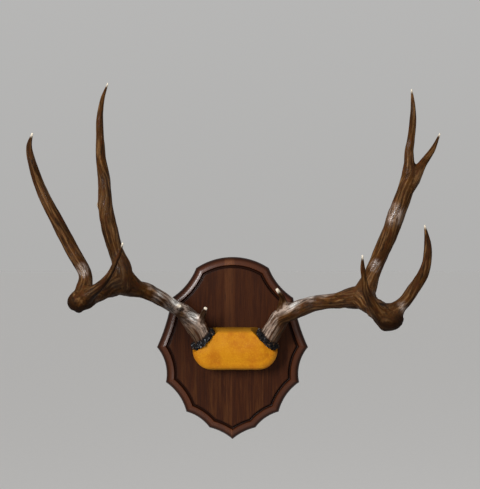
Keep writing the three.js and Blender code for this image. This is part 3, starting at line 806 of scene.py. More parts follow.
def leather_finish(settings):
    """Golden dyed leather with a fine grain, mottled amber, with painted shade where it turns under and along
    its edges.
    """
    paint = Paint("golden leather")
    mottle = paint.noise(paint.place, *LEATHER_MOTTLE)
    speckle = paint.noise(paint.place, *LEATHER_SPECKLE)
    squat = paint.stretched(paint.place, (1, 1, 1.4))
    creases = paint.cells(squat, LEATHER_CREASES, feature="DISTANCE_TO_EDGE")
    tone = paint.layered(settings.golden, [
        (paint.span(mottle, 0.42, 0.62), settings.amber),
        (paint.span(speckle, 0.52, 0.72, 0.0, 0.5), settings.straw),
        (paint.span(speckle, 0.46, 0.32, 0.0, 0.5), settings.amber),
        # Painted shade at the turned-under rim and along the top and bottom.
        (paint.kept("rim"), settings.rim),
    ])
    creased = paint.bump(paint.span(creases, 0.0, 0.12), 0.05 * MM, 0.35)
    return paint.finish(
        Base_Color=tone,
        Roughness=paint.span(speckle, 0.3, 0.7, 0.46, 0.64),
        Normal=paint.bump(paint.cells(paint.place, LEATHER_PEBBLES), 0.12 * MM, 0.55, onto=creased),
        Specular_IOR_Level=0.12,
    )


def walnut_finish(settings):
    """Satin walnut: glued boards with upright grain, bands, pores and a knot; bare wood on the back."""
    paint = Paint("walnut")
    parts = paint.add("ShaderNodeSeparateXYZ", {0: paint.place})
    x, z = parts.outputs[0], parts.outputs[2]

    # The boards' own place, bent round the knot.
    knot_place = (KNOT["x"] * MM, 0, KNOT["z"] * MM)
    from_knot = paint.add("ShaderNodeVectorMath", {0: paint.place, 1: knot_place}, operation="DISTANCE")
    bend = paint.span(from_knot.outputs["Value"], 0, KNOT["reach"] * MM, 1.0, 0.0)
    left_board = paint.compute("LESS_THAN", x, GLUE_LINE_X * MM)
    board_x = paint.plus(paint.plus(x, bend, KNOT["bend"] * MM), left_board, BOARD_SHIFT)
    board = paint.add("ShaderNodeCombineXYZ", {0: board_x, 1: parts.outputs[1], 2: z}).outputs[0]
    long_grain = paint.stretched(board, (1, 1, 0.045))
    bands = paint.noise(long_grain, *GRAIN_BANDS)
    lines = paint.noise(long_grain, *GRAIN_LINES)
    pores = paint.noise(paint.stretched(board, (1, 1, 0.028)), *WOOD_PORES)
    drift = paint.noise(paint.stretched(board, (1, 1, 0.3)), *WOOD_DRIFT)
    figure = paint.plus(paint.plus(paint.times(drift, 0.3), bands, 0.4), lines, 0.45)

    # Light streaks, stronger low down, the sapwood stripe and the glue line.
    streaks = paint.span(paint.plus(paint.times(lines, 0.5), bands, 0.5), 0.50, 0.62)
    streaks = paint.times(streaks, paint.span(z, *in_mm(STREAKS_RISE), 0.2, 0.7))
    left_edge = paint.span(paint.plus(x, bands, SAP_WANDER * MM), *in_mm(SAP_LEFT))
    stripe = paint.times(left_edge, paint.span(x, *in_mm(SAP_RIGHT)))
    stripe = paint.times(stripe, paint.span(z, *in_mm(SAP_RISE), 0.12, 0.85))
    stripe = paint.times(stripe, paint.span(lines, 0.35, 0.65, 0.45, 1.0))
    off_glue = paint.compute("ABSOLUTE", paint.compute("SUBTRACT", x, GLUE_LINE_X * MM))
    glue = paint.span(off_glue, *in_mm(GLUE_WIDTH), 1.0, 0.0)
    glue = paint.times(glue, paint.span(z, *in_mm(GLUE_RISE), 0.1, 0.6))
    moulded = paint.times(paint.kept("shaped"), paint.span(figure, 0.42, 0.66, 0.4, 1.0))
    back = paint.kept("back")
    tone = paint.layered(settings.dark, [
        (paint.span(figure, 0.46, 0.63), settings.heart),
        (streaks, settings.ochre),
        (moulded, settings.moulding),
        (stripe, settings.sap),
        (glue, settings.sap),
        (paint.span(pores, 0.42, 0.34, 0.0, 0.7), settings.dark),
        # Painted shade in the routed groove and on the outer wall.
        (paint.kept("groove_and_edge_shade"), settings.groove),
        (back, paint.blend(paint.span(figure, 0.4, 0.7, 0.0, 0.6), settings.bare, settings.sap)),
    ])
    crest = paint.kept("crest")
    ripple = paint.plus(paint.times(lines, 0.5), pores, 0.7)
    return paint.finish(
        Base_Color=tone,
        Roughness=paint.plus(paint.span(pores, 0.3, 0.6, 0.44, 0.32), back, 0.35),
        Normal=paint.bump(ripple, 0.09 * MM, paint.plus(0.5, crest, -0.47)),
        Specular_IOR_Level=0.08,
        Coat_Weight=paint.times(crest, 0.5),
        Coat_Roughness=0.26,
    )


def zinc_finish(settings):
    """Bright zinc plating, a little clouded and scratched."""
    paint = Paint("zinc plating")
    cloud = paint.noise(paint.place, *ZINC_CLOUDS)
    scratches = paint.noise(paint.stretched(paint.place, (1, 1, 0.05)), *ZINC_SCRATCHES)
    dull = tuple(channel * 0.62 for channel in settings.zinc)
    return paint.finish(
        Base_Color=paint.blend(paint.span(cloud, 0.4, 0.7), settings.zinc, dull),
        Metallic=1.0,
        Roughness=paint.span(cloud, 0.3, 0.7, 0.26, 0.44),
        Normal=paint.bump(scratches, 0.03 * MM, 0.4),
    )


def floor_finish(settings):
    paint = Paint("pale floor")
    darker = tuple(channel * 0.96 for channel in settings.floor)
    speckle = paint.noise(paint.place, *FLOOR_SPECKLE)
    return paint.finish(Base_Color=paint.blend(speckle, settings.floor, darker), Roughness=0.85)


# ------------------------------------------------------------------ antlers

CORE_STEP = 1.5 * MM
CURVE_STEPS = 24
TUBE_SIDES = 20
END_LEAN = 0.3 * MM


def part_way(t, start, end, one, other):
    """What lies at t on the straight way from one, at start, to other, at end."""
    return (end - t) / (end - start) * one + (t - start) / (end - start) * other


class Limb:
    """A limb's core as close samples: places, radii, length run so far and two directions across."""

    def __init__(self, stations, web, gnarl, furrows, stained_and_shaded, ivory, seed):
        self.web = web * MM
        self.gnarl = gnarl
        self.furrows = furrows
        self.stained_and_shaded = stained_and_shaded
        self.ivory = ivory * MM
        self.seed = seed
        knots = np.array([[*place(*station[:3]), station[3] / 2 * MM] for station in stations])
        dense = self.smoothed(knots)
        run = self.length_along(dense)
        self.length = run[-1]
        count = max(4, round(self.length / CORE_STEP))
        self.run = np.linspace(0, self.length, count + 1)
        even = np.stack([np.interp(self.run, run, dense[:, column]) for column in range(4)], axis=1)
        self.core, self.radius = even[:, :3], even[:, 3]
        self.turn_frames()

    @staticmethod
    def length_along(points, exponent=1):
        spans = np.linalg.norm(np.diff(points[:, :3], axis=0), axis=1) ** exponent
        return np.concatenate([[0], np.cumsum(spans)])

    @staticmethod
    def smoothed(knots, steps=CURVE_STEPS):
        """A centripetal Catmull-Rom curve through the knots; the radius goes straight from knot to knot."""
        ends = np.vstack([2 * knots[0] - knots[1], knots, 2 * knots[-1] - knots[-2]])
        times = Limb.length_along(ends, exponent=0.5)
        pieces = []
        for i in range(1, len(ends) - 2):
            t0, t1, t2, t3 = times[i - 1 : i + 3]
            p0, p1, p2, p3 = ends[i - 1 : i + 3, :]
            t = np.linspace(t1, t2, steps, endpoint=False)[:, None]
            before = part_way(t, t0, t1, p0, p1)
            straight = part_way(t, t1, t2, p1, p2)
            after = part_way(t, t2, t3, p2, p3)
            first = part_way(t, t0, t2, before, straight)
            second = part_way(t, t1, t3, straight, after)
            curve = part_way(t, t1, t2, first, second)
            curve[:, 3:] = straight[:, 3:]
            pieces.append(curve)
        return np.vstack([*pieces, knots[-1:]])

    def turn_frames(self):
        """Directions across the core that turn no more than it does."""
        self.ahead = np.gradient(self.core, axis=0)
        self.ahead /= np.linalg.norm(self.ahead, axis=1, keepdims=True)
        side = np.array([0.0, 1.0, 0.0])
        sides = []
        for ahead in self.ahead:
            side = side - ahead * (side @ ahead)
            side /= np.linalg.norm(side)
            sides.append(side)
        self.side = np.array(sides)
        self.across = np.cross(self.ahead, self.side)

    def locate(self, points):
        """For each point: its height over the limb's skin, the way out, how far along it lies and its
        bearing."""
        apart = (self.core**2).sum(1)[None, :] - 2 * points @ self.core.T
        nearest = apart.argmin(axis=1)
        at_first, at_last = nearest == 0, nearest == len(self.core) - 1
        ahead = self.ahead[nearest]
        offset = points - self.core[nearest]
        half = CORE_STEP / 2
        onward = (offset * ahead).sum(1)
        onward = np.clip(onward, np.where(at_first, 0, -half), np.where(at_last, 0, half))
        outward = offset - ahead * onward[:, None]
        outward += ahead * ((at_last & (onward >= 0)) * END_LEAN)[:, None]
        reach = np.linalg.norm(outward, axis=1)
        outward /= np.maximum(reach, 1e-9)[:, None]
        run = self.run[nearest] + onward
        radius = np.interp(run, self.run, self.radius)
        bearing = [(outward * axes[nearest]).sum(1) for axes in (self.side, self.across)]
        return {"height": reach - radius, "out": outward, "run": run, "radius": radius, "bearing": bearing}


SHARE_SOFTNESS = 1.6 * MM
LEAST_SHARE = 0.02


def skin_field(points, limbs):
    """Height of each point over the antler's skin, where limbs flow into each other, the way out,
    where it lies on each limb, each limb's share in it and how near it is to where two limbs meet."""
    found = [limb.locate(points) for limb in limbs]
    heights = np.stack([f["height"] for f in found])
    lowest_two = np.sort(heights, axis=0)[:2]
    outs = np.stack([f["out"] for f in found])
    first = heights.argmin(axis=0)
    everyone = np.arange(len(points))
    lowest = heights[first, everyone]
    webs = np.array([limb.web for limb in limbs])
    fill = np.zeros(len(points))
    for i, limb in enumerate(limbs):
        web = np.minimum(webs[first], limb.web)
        near = np.clip(1 - (heights[i] - lowest) / web, 0, 1)
        opening = np.clip(1 - (outs[i] * outs[first, everyone]).sum(1), 0, 1)
        fill = np.maximum(fill, np.where(first == i, 0, web / 4 * near**2 * opening))
    shares = np.exp(-(heights - lowest) / SHARE_SOFTNESS)
    shares /= shares.sum(0)
    out = (outs * shares[:, :, None]).sum(0)
    out /= np.maximum(np.linalg.norm(out, axis=1), 1e-6)[:, None]
    merging = 1 - smooth_step(*in_mm(LIMBS_MERGE), lowest_two[1] - lowest_two[0])
    return lowest - fill, out, found, shares, merging


WANDER = {"turn": 0.8, "length": 65 * MM}
GROOVE_WIDTH = 0.3
FIBRE_STRETCH = 0.08
TIP_RAGGEDNESS = 1.5 * MM


def rind_relief(points, limbs, found, shares, settings):
    """Height of the rind over the smooth skin, and what the material reads: how deep each point lies in a
    flute, how rubbed it is, how near to a tip, and its place in the bone's own fibre."""
    count = len(points)
    height, groove, streak, ivory = np.zeros((4, count))
    fibre = np.zeros((count, 3))
    strongest = shares.max(0)
    for limb, at, share in zip(limbs, found, shares):
        here = np.flatnonzero(share > LEAST_SHARE)
        weight = share[here]
        run = at["run"][here]
        radius = at["radius"][here]
        way_along = np.column_stack([run / WANDER["length"], np.zeros((len(run), 2))])
        wander = WANDER["turn"] * noise(way_along + 0.5, limb.seed)
        cos, sin = np.cos(wander), np.sin(wander)
        side, across = (bearing[here] for bearing in at["bearing"])
        wrapped = np.stack([side * cos - across * sin, side * sin + across * cos], axis=1) * radius[:, None]

        def along(width, stretch, number):
            return noise(np.column_stack([wrapped / (width * MM), run / (stretch * MM)]), limb.seed + number)

        to_tip = limb.length - run if limb.ivory else np.full(len(run), limb.length + 1)
        furrowed = smooth_step(*in_mm(FLUTES_FADE), to_tip) * limb.furrows
        wide = along(*WIDE_FLUTES)
        fine = along(*FINE_FLUTES)
        patchy = smooth_step(-0.4, 0.4, along(*FLUTED_PATCHES))
        wide_groove = np.exp(-((wide / GROOVE_WIDTH) ** 2))
        fine_groove = np.exp(-((fine / GROOVE_WIDTH) ** 2)) * patchy
        flutes = 0.6 * np.abs(wide) - 0.75 * wide_groove - 0.35 * fine_groove
        flutes = (flutes - flutes.mean()) * settings.groove_depth * furrowed
        lumps = pattern(points[here], SLOW_LUMPS, limb.seed)
        lumps += pattern(points[here], QUICK_LUMPS, limb.seed) * 0.4
        lumps *= settings.lump_height * limb.gnarl * smooth_step(*in_mm(LUMPS_FADE), to_tip)
        lumps *= np.clip(radius / (LUMPY_RADIUS * MM), 0.25, 1.3)
        height[here] += weight * (flutes + lumps)
        groove[here] += weight * furrowed * np.clip(0.8 * wide_groove + 0.5 * fine_groove, 0, 1)
        streak[here] += weight * np.clip(0.5 + 0.8 * along(*STREAKS) + 0.5 * fine, 0, 1)
        if limb.ivory:
            from_tip = to_tip + TIP_RAGGEDNESS * fine
            ivory[here] += weight * (1 - smooth_step(limb.ivory * 0.4, limb.ivory * 2.2, from_tip))
        leads = weight >= strongest[here]
        fibre[here[leads]] = np.column_stack([wrapped, run * FIBRE_STRETCH + limb.seed])[leads]
    return height, {"groove": groove, "streak": streak, "ivory": ivory, "fibre": fibre}


def limb_tree():
    """Turns the cores of the limbs into tubes with their own girth."""
    tree, given, output = geometry_tree(
        "Limb Tubes", [("Sides", "NodeSocketInt", TUBE_SIDES), ("Material", "NodeSocketMaterial", None)]
    )
    cores = node(tree, "GeometryNodeMeshToCurve", {"Mesh": given["Geometry"]})
    girth = node(tree, "GeometryNodeInputNamedAttribute", {"Name": "girth"}, data_type="FLOAT")
    section = node(tree, "GeometryNodeCurvePrimitiveCircle", {"Resolution": given["Sides"], "Radius": 1.0})
    sweep = {"Curve": cores.outputs[0], "Profile Curve": section.outputs["Curve"], "Fill Caps": True}
    tubes = node(tree, "GeometryNodeCurveToMesh", {"Scale": girth.outputs["Attribute"], **sweep})
    close_tree(tree, tubes.outputs[0], given["Material"], output[0])
    return tree


def burr_tree():
    """Rings of uneven knobs round the foot of an antler, standing on its own XY plane."""
    tree, given, output = geometry_tree(
        "Burr Knobs",
        [
            ("Knobs", "NodeSocketInt", 15),
            ("Radius", "NodeSocketFloat", 0.02),
            ("Knob Size", "NodeSocketFloat", 0.004),
            ("Height", "NodeSocketFloat", 0.004),
            ("Seed", "NodeSocketInt", 0),
            ("Material", "NodeSocketMaterial", None),
        ],
    )

    def uneven(span):
        inputs = {0: span[0], 1: span[1], "Seed": given["Seed"]}
        return node(tree, "FunctionNodeRandomValue", inputs, data_type="FLOAT_VECTOR").outputs[0]

    circle = node(tree, "GeometryNodeMeshCircle", {"Vertices": given["Knobs"], "Radius": given["Radius"]})
    stray = {0: uneven(KNOB_JITTER), "Scale": given["Knob Size"]}
    spread = node(tree, "ShaderNodeVectorMath", stray, operation="SCALE")
    lift = node(tree, "ShaderNodeCombineXYZ", {2: given["Height"]})
    offset = node(tree, "ShaderNodeVectorMath", {0: spread.outputs[0], 1: lift.outputs[0]}, operation="ADD")
    moved = {"Geometry": circle.outputs["Mesh"], "Offset": offset.outputs[0]}
    spots = node(tree, "GeometryNodeSetPosition", moved)
    knob = node(tree, "GeometryNodeMeshIcoSphere", {"Radius": given["Knob Size"], "Subdivisions": 2})
    copies = {"Points": spots.outputs[0], "Instance": knob.outputs["Mesh"], "Scale": uneven(KNOB_SIZES)}
    knobs = node(tree, "GeometryNodeInstanceOnPoints", copies)
    close_tree(tree, knobs.outputs[0], given["Material"], output[0])
    return tree


def burr_frame(antler):
    """The foot of an antler's burr, and the way it faces."""
    axis = place(*antler["burr"]["axis"])
    return place(*antler["burr"]["foot"]), axis / np.linalg.norm(axis)


def burr_mesh(antler, settings, material):
    """The burr: a disc with three uneven rings of knobs, as it stands under its beam."""
    meshes = []
    for number, (radius, size, height, fewer) in enumerate(BURR_RINGS):
        values = {
            "Knobs": settings.burr_pearls - fewer,
            "Radius": radius * MM,
            "Knob Size": size * MM,
            "Height": height * MM,
            "Seed": antler["seed"] + number,
            "Material": material,
        }
        carrier = object_of("burr knobs", mesh_of("spot", [(0, 0, 0)], []))
        meshes.append(grow("Burr Knobs", carrier, burr_tree(), values))
    meshes.append(lathe("burr disc", [(radius * MM, height * MM) for radius, height in BURR_DISC], 40))
    burr = joined("burr", meshes)
    foot, axis = burr_frame(antler)
    upright = Vector((0, 0, 1)).rotation_difference(Vector(axis))
    burr.transform(upright.to_matrix().to_4x4())
    move_points(burr, points_of(burr) + foot)
    return burr


def ring(sides):
    """Corners of a circle of radius 1."""
    angles = [2 * math.pi * i / sides for i in range(sides)]
    return [(math.cos(angle), math.sin(angle)) for angle in angles]


def band(low, high, count):
    """Faces between two closed rows of points, by the number of each row's first point."""
    return [(low + i, low + (i + 1) % count, high + (i + 1) % count, high + i) for i in range(count)]


def lathe(name, profile, sides):
    """A closed turned solid about Z. The profile is radius and height, and starts and ends on the axis."""
    points = [(0, 0, profile[0][1])]
    for radius, height in profile[1:-1]:
        points += [(radius * c, radius * s, height) for c, s in ring(sides)]
    points.append((0, 0, profile[-1][1]))
    last = len(points) - 1
    top = last - sides
    faces = [(0, 1 + (i + 1) % sides, 1 + i) for i in range(sides)]
    for first in range(1, top, sides):
        faces += band(first, first + sides, sides)
    faces += [(top + i, top + (i + 1) % sides, last) for i in range(sides)]
    return mesh_of(name, points, faces)


def tubes_mesh(limbs, material):
    """All limbs of an antler as tubes along their cores."""
    cores = bpy.data.meshes.new("cores")
    points = np.concatenate([limb.core for limb in limbs])
    edges = []
    first = 0
    for limb in limbs:
        edges += [(first + i, first + i + 1) for i in range(len(limb.core) - 1)]
        first += len(limb.core)
    cores.from_pydata([tuple(p) for p in points], edges, [])
    store(cores, "girth", np.concatenate([limb.radius for limb in limbs]))
    carrier = object_of("cores", cores)
    return grow("Limb Tubes", carrier, limb_tree(), {"Sides": TUBE_SIDES, "Material": material})


SETTLING_ROUNDS = 4
LARGEST_MOVE = 4 * MM


def settled(mesh, points, limbs, on_burr):
    """Points drawn onto the smooth skin of the limbs, apart from those on the burr."""
    points = relax(mesh, points, 2, held=on_burr * 0.5)
    for _ in range(SETTLING_ROUNDS):
        height, out = skin_field(points, limbs)[:2]
        points -= out * (np.clip(height, -LARGEST_MOVE, LARGEST_MOVE) * (1 - on_burr))[:, None]
        points = relax(mesh, points, 1, held=on_burr)
    return points


def bone_looks(points, way, from_foot, on_burr, stained_and_shaded, antler):
    """Where an antler is pale, partly with painted light; darkened by stain and painted shade; glossy, with
    painted highlights; and black.
    """
    # Painted light: the side facing the lamps and the top are painted paler.
    upper = smooth_step(*UPPER_SIDE, way @ np.array(antler["lit_side"]))
    crown = smooth_step(*CROWN_SIDE, way @ np.array(CROWN_WAY))
    reach = (antler["pale_reach"] * (0.55 + 0.9 * upper) + antler["lit_crown_reach"] * crown) * MM
    ragged = pattern(points, PALE_RAGGEDNESS, antler["seed"]) * 0.25
    fading = 1 - smooth_step(0.5, 1.0, from_foot / reach + ragged)
    by_burr = 1 - smooth_step(*in_mm(FOOT_DARKENS), from_foot)
    fading *= antler["paleness"] * (1 - 0.4 * by_burr) * (1 - 0.75 * stained_and_shaded)
    # Glossy patches; the material also paints highlights on them.
    polish = np.zeros(len(points))
    for x, out, z, spread in antler["glossy_highlight_spots"]:
        away = np.linalg.norm(points - place(x, out, z), axis=1)
        polish = np.maximum(polish, 1 - smooth_step(0, spread * MM, away))
    return {
        "bleached_and_lit": fading * (0.12 + 0.88 * upper) * (1 - on_burr),
        # Painted shade: the undersides are darkened along with the stained limbs.
        "stained_and_shaded": np.clip(stained_and_shaded + 0.7 * smooth_step(*SHADED_UNDERSIDE, way[:, 2]), 0, 1),
        "polish": polish,
        "burr": on_burr,
    }


def make_antler(name, antler, settings, material):
    """One antler as a single grown piece, from burr to tips."""
    seed = antler["seed"]
    limbs = [Limb(seed=seed + 10 * i, **limb) for i, limb in enumerate(antler["limbs"].values())]
    rough = joined(name, [tubes_mesh(limbs, material), burr_mesh(antler, settings, material)])
    mesh = skinned(name, rough, settings.skin_pitch)
    points = points_of(mesh)
    foot, axis = burr_frame(antler)
    near_foot = np.linalg.norm(points - foot, axis=1) < 2 * BURR_RADIUS * MM
    thick = BURR_THICKNESS * MM
    above_burr = smooth_step(thick, thick + BURR_FADE * MM, (points - foot) @ axis)
    on_burr = np.where(near_foot, 1 - above_burr, 0)
    points = settled(mesh, points, limbs, on_burr)
    _, _, found, shares, merging = skin_field(points, limbs)
    relief, looks = rind_relief(points, limbs, found, shares, settings)
    move_points(mesh, points)

    way = normals_of(mesh)
    from_foot = np.linalg.norm(points - foot, axis=1)
    at_base = (1 - smooth_step(*in_mm(BEADED), from_foot)) * (1 - on_burr)
    beads = np.clip(pattern(points, BEADS, seed) - 0.15, 0, 1) * settings.pearl_height * at_base * 0.6
    crust = np.abs(pattern(points, COARSE_CRUST, seed)) - 0.3 + 0.4 * pattern(points, FINE_CRUST, seed)
    grown = relief * (1 - on_burr) + beads + crust * settings.crust_height * on_burr
    points += way * grown[:, None]
    points = relax(mesh, points, 4, held=np.maximum(1 - merging, on_burr))
    move_points(mesh, points)

    stained_and_shaded = np.array([limb.stained_and_shaded for limb in limbs]) @ shares
    looks |= bone_looks(points, way, from_foot, on_burr, stained_and_shaded, antler)
    looks["groove"] *= 1 - on_burr
    looks["crust"] = smooth_step(0.0, 0.9, crust + 0.3) * on_burr
    looks["merging"] = merging
    for key, values in looks.items():
        store(mesh, key, values)
    mesh.shade_smooth()
    return finish_piece(name, mesh, material, antler["stands_for"])


class TROPHY_OT_antlers(bpy.types.Operator):
    """Grows both antlers, each as one piece from its burr to its tips"""

    bl_idname = "trophy.antlers"
    bl_label = "Antlers"

    def execute(self, context):
        settings = context.scene.trophy_antlers
        material = antler_finish(settings)
        for name, antler in ANTLERS.items():
            make_antler(name, antler, settings, material)
        return {"FINISHED"}


# ------------------------------------------------------------------ skull plate in its leather

def cap_outline(inset, corner_steps=16):
    """The cap's outline moved inwards, as (x, z) points, anticlockwise from the lower right."""
    corners = [
        ("right", "bottom", CAP_LOWER_RADIUS),
        ("right", "top", CAP_UPPER_RADIUS),
        ("left", "top", CAP_UPPER_RADIUS),
        ("left", "bottom", CAP_LOWER_RADIUS),
    ]
    points = []
    for quarter, (side, end, radius) in enumerate(corners):
        turned = max(radius - inset, 1)
        reach = inset + turned
        x = CAP_EDGES[side] + (reach if side == "left" else -reach)
        z = CAP_EDGES[end] + (reach if end == "bottom" else -reach)
        for step in range(corner_steps + 1):
            angle = math.pi / 2 * (quarter - 1 + step / corner_steps)
            points.append((x + turned * math.cos(angle), z + turned * math.sin(angle)))
    return points


def stacked(name, outlines):
    """A closed solid over outlines, given as (points, distance out from the wall), outwards."""
    points = [tuple(place(x, out, z)) for outline, out in outlines for x, z in outline]
    count = len(outlines[0][0])
    faces = [tuple(reversed(range(count)))]
    last = (len(outlines) - 1) * count
    for first in range(0, last, count):
        faces += band(first, first + count, count)
    faces.append(tuple(range(last, last + count)))
    return mesh_of(name, points, faces)


def cap_solid(face, roll_steps=12):
    """The cap's form before it is pressed: its sides, its rolled edge and its crown."""
    profile = [*CAP_FOOT]
    for step in range(roll_steps + 1):
        angle = math.pi / 2 * step / roll_steps
        profile.append((CAP_ROLL * (1 - math.cos(angle)), CAP_HEIGHT - CAP_ROLL * (1 - math.sin(angle))))
    profile += [(inset, CAP_HEIGHT + rise) for inset, rise in CAP_CROWN]
    return stacked("cap", [(cap_outline(inset), face + out) for inset, out in profile])


def make_cap(settings):
    """The leather over the skull plate: a rolled, crowned form pressed flat under the burrs."""
    face = SHIELD_THICKNESS + CLEARANCE
    mesh = skinned("cap", cap_solid(face), settings.skin_pitch)
    points = relax(mesh, points_of(mesh), 3)
    waves = pattern(points, SLOW_WAVES) + 0.5 * pattern(points, QUICK_WAVES)
    move_points(mesh, points)
    points += normals_of(mesh) * (waves * settings.unevenness)[:, None]

    def fading(span, distance):
        return 1 - smooth_step(*in_mm(span), distance)

    # Painted shade where the leather turns under at the shield and along its top and bottom edges.
    turned_under = fading(TURNED_UNDER, -points[:, 1] - face * MM)
    below_top = fading(BELOW_TOP, CAP_EDGES["top"] * MM - points[:, 2])
    above_bottom = fading(ABOVE_BOTTOM, points[:, 2] - CAP_EDGES["bottom"] * MM)
    near_burr = np.zeros(len(points))
    for antler in ANTLERS.values():
        foot, axis = burr_frame(antler)
        over = (points - foot) @ axis + CLEARANCE * MM
        points -= axis * np.maximum(over, 0)[:, None]
        away = np.linalg.norm(points - foot - ((points - foot) @ axis)[:, None] * axis, axis=1)
        pressed = fading(PRESSED_DEPTH, np.abs(over)) * fading(PRESSED_REACH, away)
        near_burr = np.maximum(near_burr, pressed)
    # Painted shade along the top and bottom edges, kept off where the burrs press.
    rim_shade = np.maximum(below_top * 0.75, above_bottom * 0.6) * (1 - near_burr)
    points[:, 1] = np.minimum(points[:, 1], -face * MM)
    points = relax(mesh, points, 1, 0.3)
    points[:, 1] = np.minimum(points[:, 1], -face * MM)
    move_points(mesh, points)
    store(mesh, "rim", np.maximum(turned_under, rim_shade))
    mesh.shade_smooth()
    return mesh


class TROPHY_OT_skull_cap(bpy.types.Operator):
    """Covers the skull plate with golden leather"""

    bl_idname = "trophy.skull_cap"
    bl_label = "Leather Skull Cap"

    def execute(self, context):
        settings = context.scene.trophy_leather
        finish_piece("leather_cap", make_cap(settings), leather_finish(settings), ["skull_cap"])
        return {"FINISHED"}


# ------------------------------------------------------------------ shield

def circle_of(start, end, sag):
    """The circle through the ends of a stretch with the given sag, and whether it bows outwards."""
    chord = math.dist(start, end)
    bow = abs(sag)
    radius = chord * chord / (8 * bow) + bow / 2
    to_centre = math.copysign(radius - bow, sag)
    inward = ((end[1] - start[1]) / chord, (start[0] - end[0]) / chord)
    centre = tuple((start[i] + end[i]) / 2 + inward[i] * to_centre for i in range(2))
    return centre, radius, sag > 0


def crossing(one, other, near):
    """Where two circles cross, at the crossing nearest to a point."""
    (ax, az), ar = one
    (bx, bz), br = other
    apart = math.hypot(bx - ax, bz - az)
    along = (ar**2 - br**2 + apart**2) / (2 * apart)
    across = math.sqrt(ar**2 - along**2)
    ux, uz = (bx - ax) / apart, (bz - az) / apart
    found = [(ax + ux * along - uz * h, az + uz * along + ux * h) for h in (across, -across)]
    return min(found, key=lambda point: math.dist(point, near))


def arc(centre, radius, start, end, steps):
    """Points along a circle from one point towards another, without the last."""
    first = math.atan2(start[1] - centre[1], start[0] - centre[0])
    turn = math.atan2(end[1] - centre[1], end[0] - centre[0]) - first
    sweep = turn - 2 * math.pi * round(turn / (2 * math.pi))
    angles = [first + sweep * step / steps for step in range(steps)]
    return [(centre[0] + radius * math.cos(a), centre[1] + radius * math.sin(a)) for a in angles]


def shield_outline(inset, step):
    """The shield's outline moved inwards, as (x, z) points, anticlockwise from the top right corner."""
    top_left = (-ARCH_END[0], ARCH_END[1])
    stretches = [(top_left, ARCH_END, ARCH_TOP_Z - ARCH_END[1])]
    for corner, sag in SCALLOPS:
        stretches.append((stretches[-1][1], corner, sag))
    circles = []
    for start, end, sag in stretches:
        centre, radius, convex = circle_of(start, end, sag)
        circles.append((centre, radius - inset if convex else radius + inset))

    def mirrored(circle):
        return (-circle[0][0], circle[0][1]), circle[1]

    corners = [crossing(circles[0], mirrored(circles[1]), top_left)]
    following = [*circles[1:], mirrored(circles[-1])]
    for circle, after, stretch in zip(circles, following, stretches):
        corners.append(crossing(circle, after, stretch[1]))
    sides = []
    for number, (circle, stretch) in enumerate(zip(circles, stretches)):
        steps = max(6, round(math.dist(stretch[0], stretch[1]) / step))
        sides.append(arc(*circle, corners[number], corners[number + 1], steps))
    right = [point for side in sides[1:] for point in side]
    left = [(-x, z) for x, z in right[1:]]
    clockwise = [*sides[0], *right, corners[-1], *reversed(left)]
    return clockwise[::-1]


def rounded(stretch, steps=5):
    """A smooth run of points through a stretch of the moulding."""
    if len(stretch) < 3:
        return stretch
    knots = np.array([(inset, 0, height, 0) for inset, height in stretch], float)
    return [(p[0], p[2]) for p in Limb.smoothed(knots, steps)]


def round_ended(name, z, width, height, near, far, steps=16):
    """An upright block with round ends, square to the wall, between two distances out from it."""
    straight = (height - width) / 2
    outline = []
    for centre, start in ((straight, 0), (-straight, math.pi)):
        for step in range(steps + 1):
            angle = start + math.pi * step / steps
            outline.append((width / 2 * math.cos(angle), z + centre + width / 2 * math.sin(angle)))
    return stacked(name, [(outline, near), (outline, far)])


def bar(name, x, z, profile, sides=32):
    """A round solid square to the wall. The profile is radius and distance out from the wall."""
    return stacked(name, [([(x + r * c, z + r * s) for c, s in ring(sides)], out) for r, out in profile])


def screw_hole(x, z, screw):
    """The countersunk hole that a screw takes."""
    wide = screw["head"] / 2 + CLEARANCE
    narrow = screw["shank"] / 2 + CLEARANCE
    depth = screw["head_height"] + CLEARANCE
    end = screw["length"] + CLEARANCE
    return bar("screw hole", x, z, [(wide, -PROUD), (wide, screw["sunk"]), (narrow, depth), (narrow, end)])


def keyhole_cutters(near, far):
    rise, slot = KEYHOLE["rise"], KEYHOLE["slot"]
    z = HANGER["z"] - rise / 2
    round_part = bar("keyhole", 0, z, [(KEYHOLE["round"] / 2, near), (KEYHOLE["round"] / 2, far)], 40)
    return [round_part, round_ended("keyhole slot", z + rise / 2, slot, rise + slot, near, far)]


def shield_blank(step):
    """The shield with its routed moulding."""
    profile = [(BACK_CHAMFER, 0), *OUTER_WALL]
    for stretch in (SWELL, ROUTED_GROOVE, FIELD_EDGE):
        profile += rounded(stretch)[1:]
    profile.append((FIELD_INSET, SHIELD_THICKNESS))
    return stacked("shield", [(shield_outline(inset, step), height) for inset, height in profile])


def back_cutters():
    """What is let into the shield's back: the plate, the hanging screw's head and the other screws."""
    z = HANGER["z"]
    floor = HANGER["sunk"] + HANGER["thickness"] + CLEARANCE
    wide, tall = HANGER["width"] + 2 * CLEARANCE, HANGER["height"] + 2 * CLEARANCE
    plate_pocket = round_ended("plate pocket", z, wide, tall, -PROUD, floor)
    deep = floor + HEAD_POCKET["depth"]
    head_pocket = round_ended(
        "head pocket", z, HEAD_POCKET["width"], HEAD_POCKET["height"], HEAD_POCKET["start"], deep
    )
    skull_holes = [screw_hole(x, z, SKULL_SCREW) for x, z in SKULL_SCREWS]
    hanger_holes = [screw_hole(x, z, HANGER_SCREW) for x, z in HANGER_SCREWS]
    return [plate_pocket, head_pocket, *skull_holes, *hanger_holes]


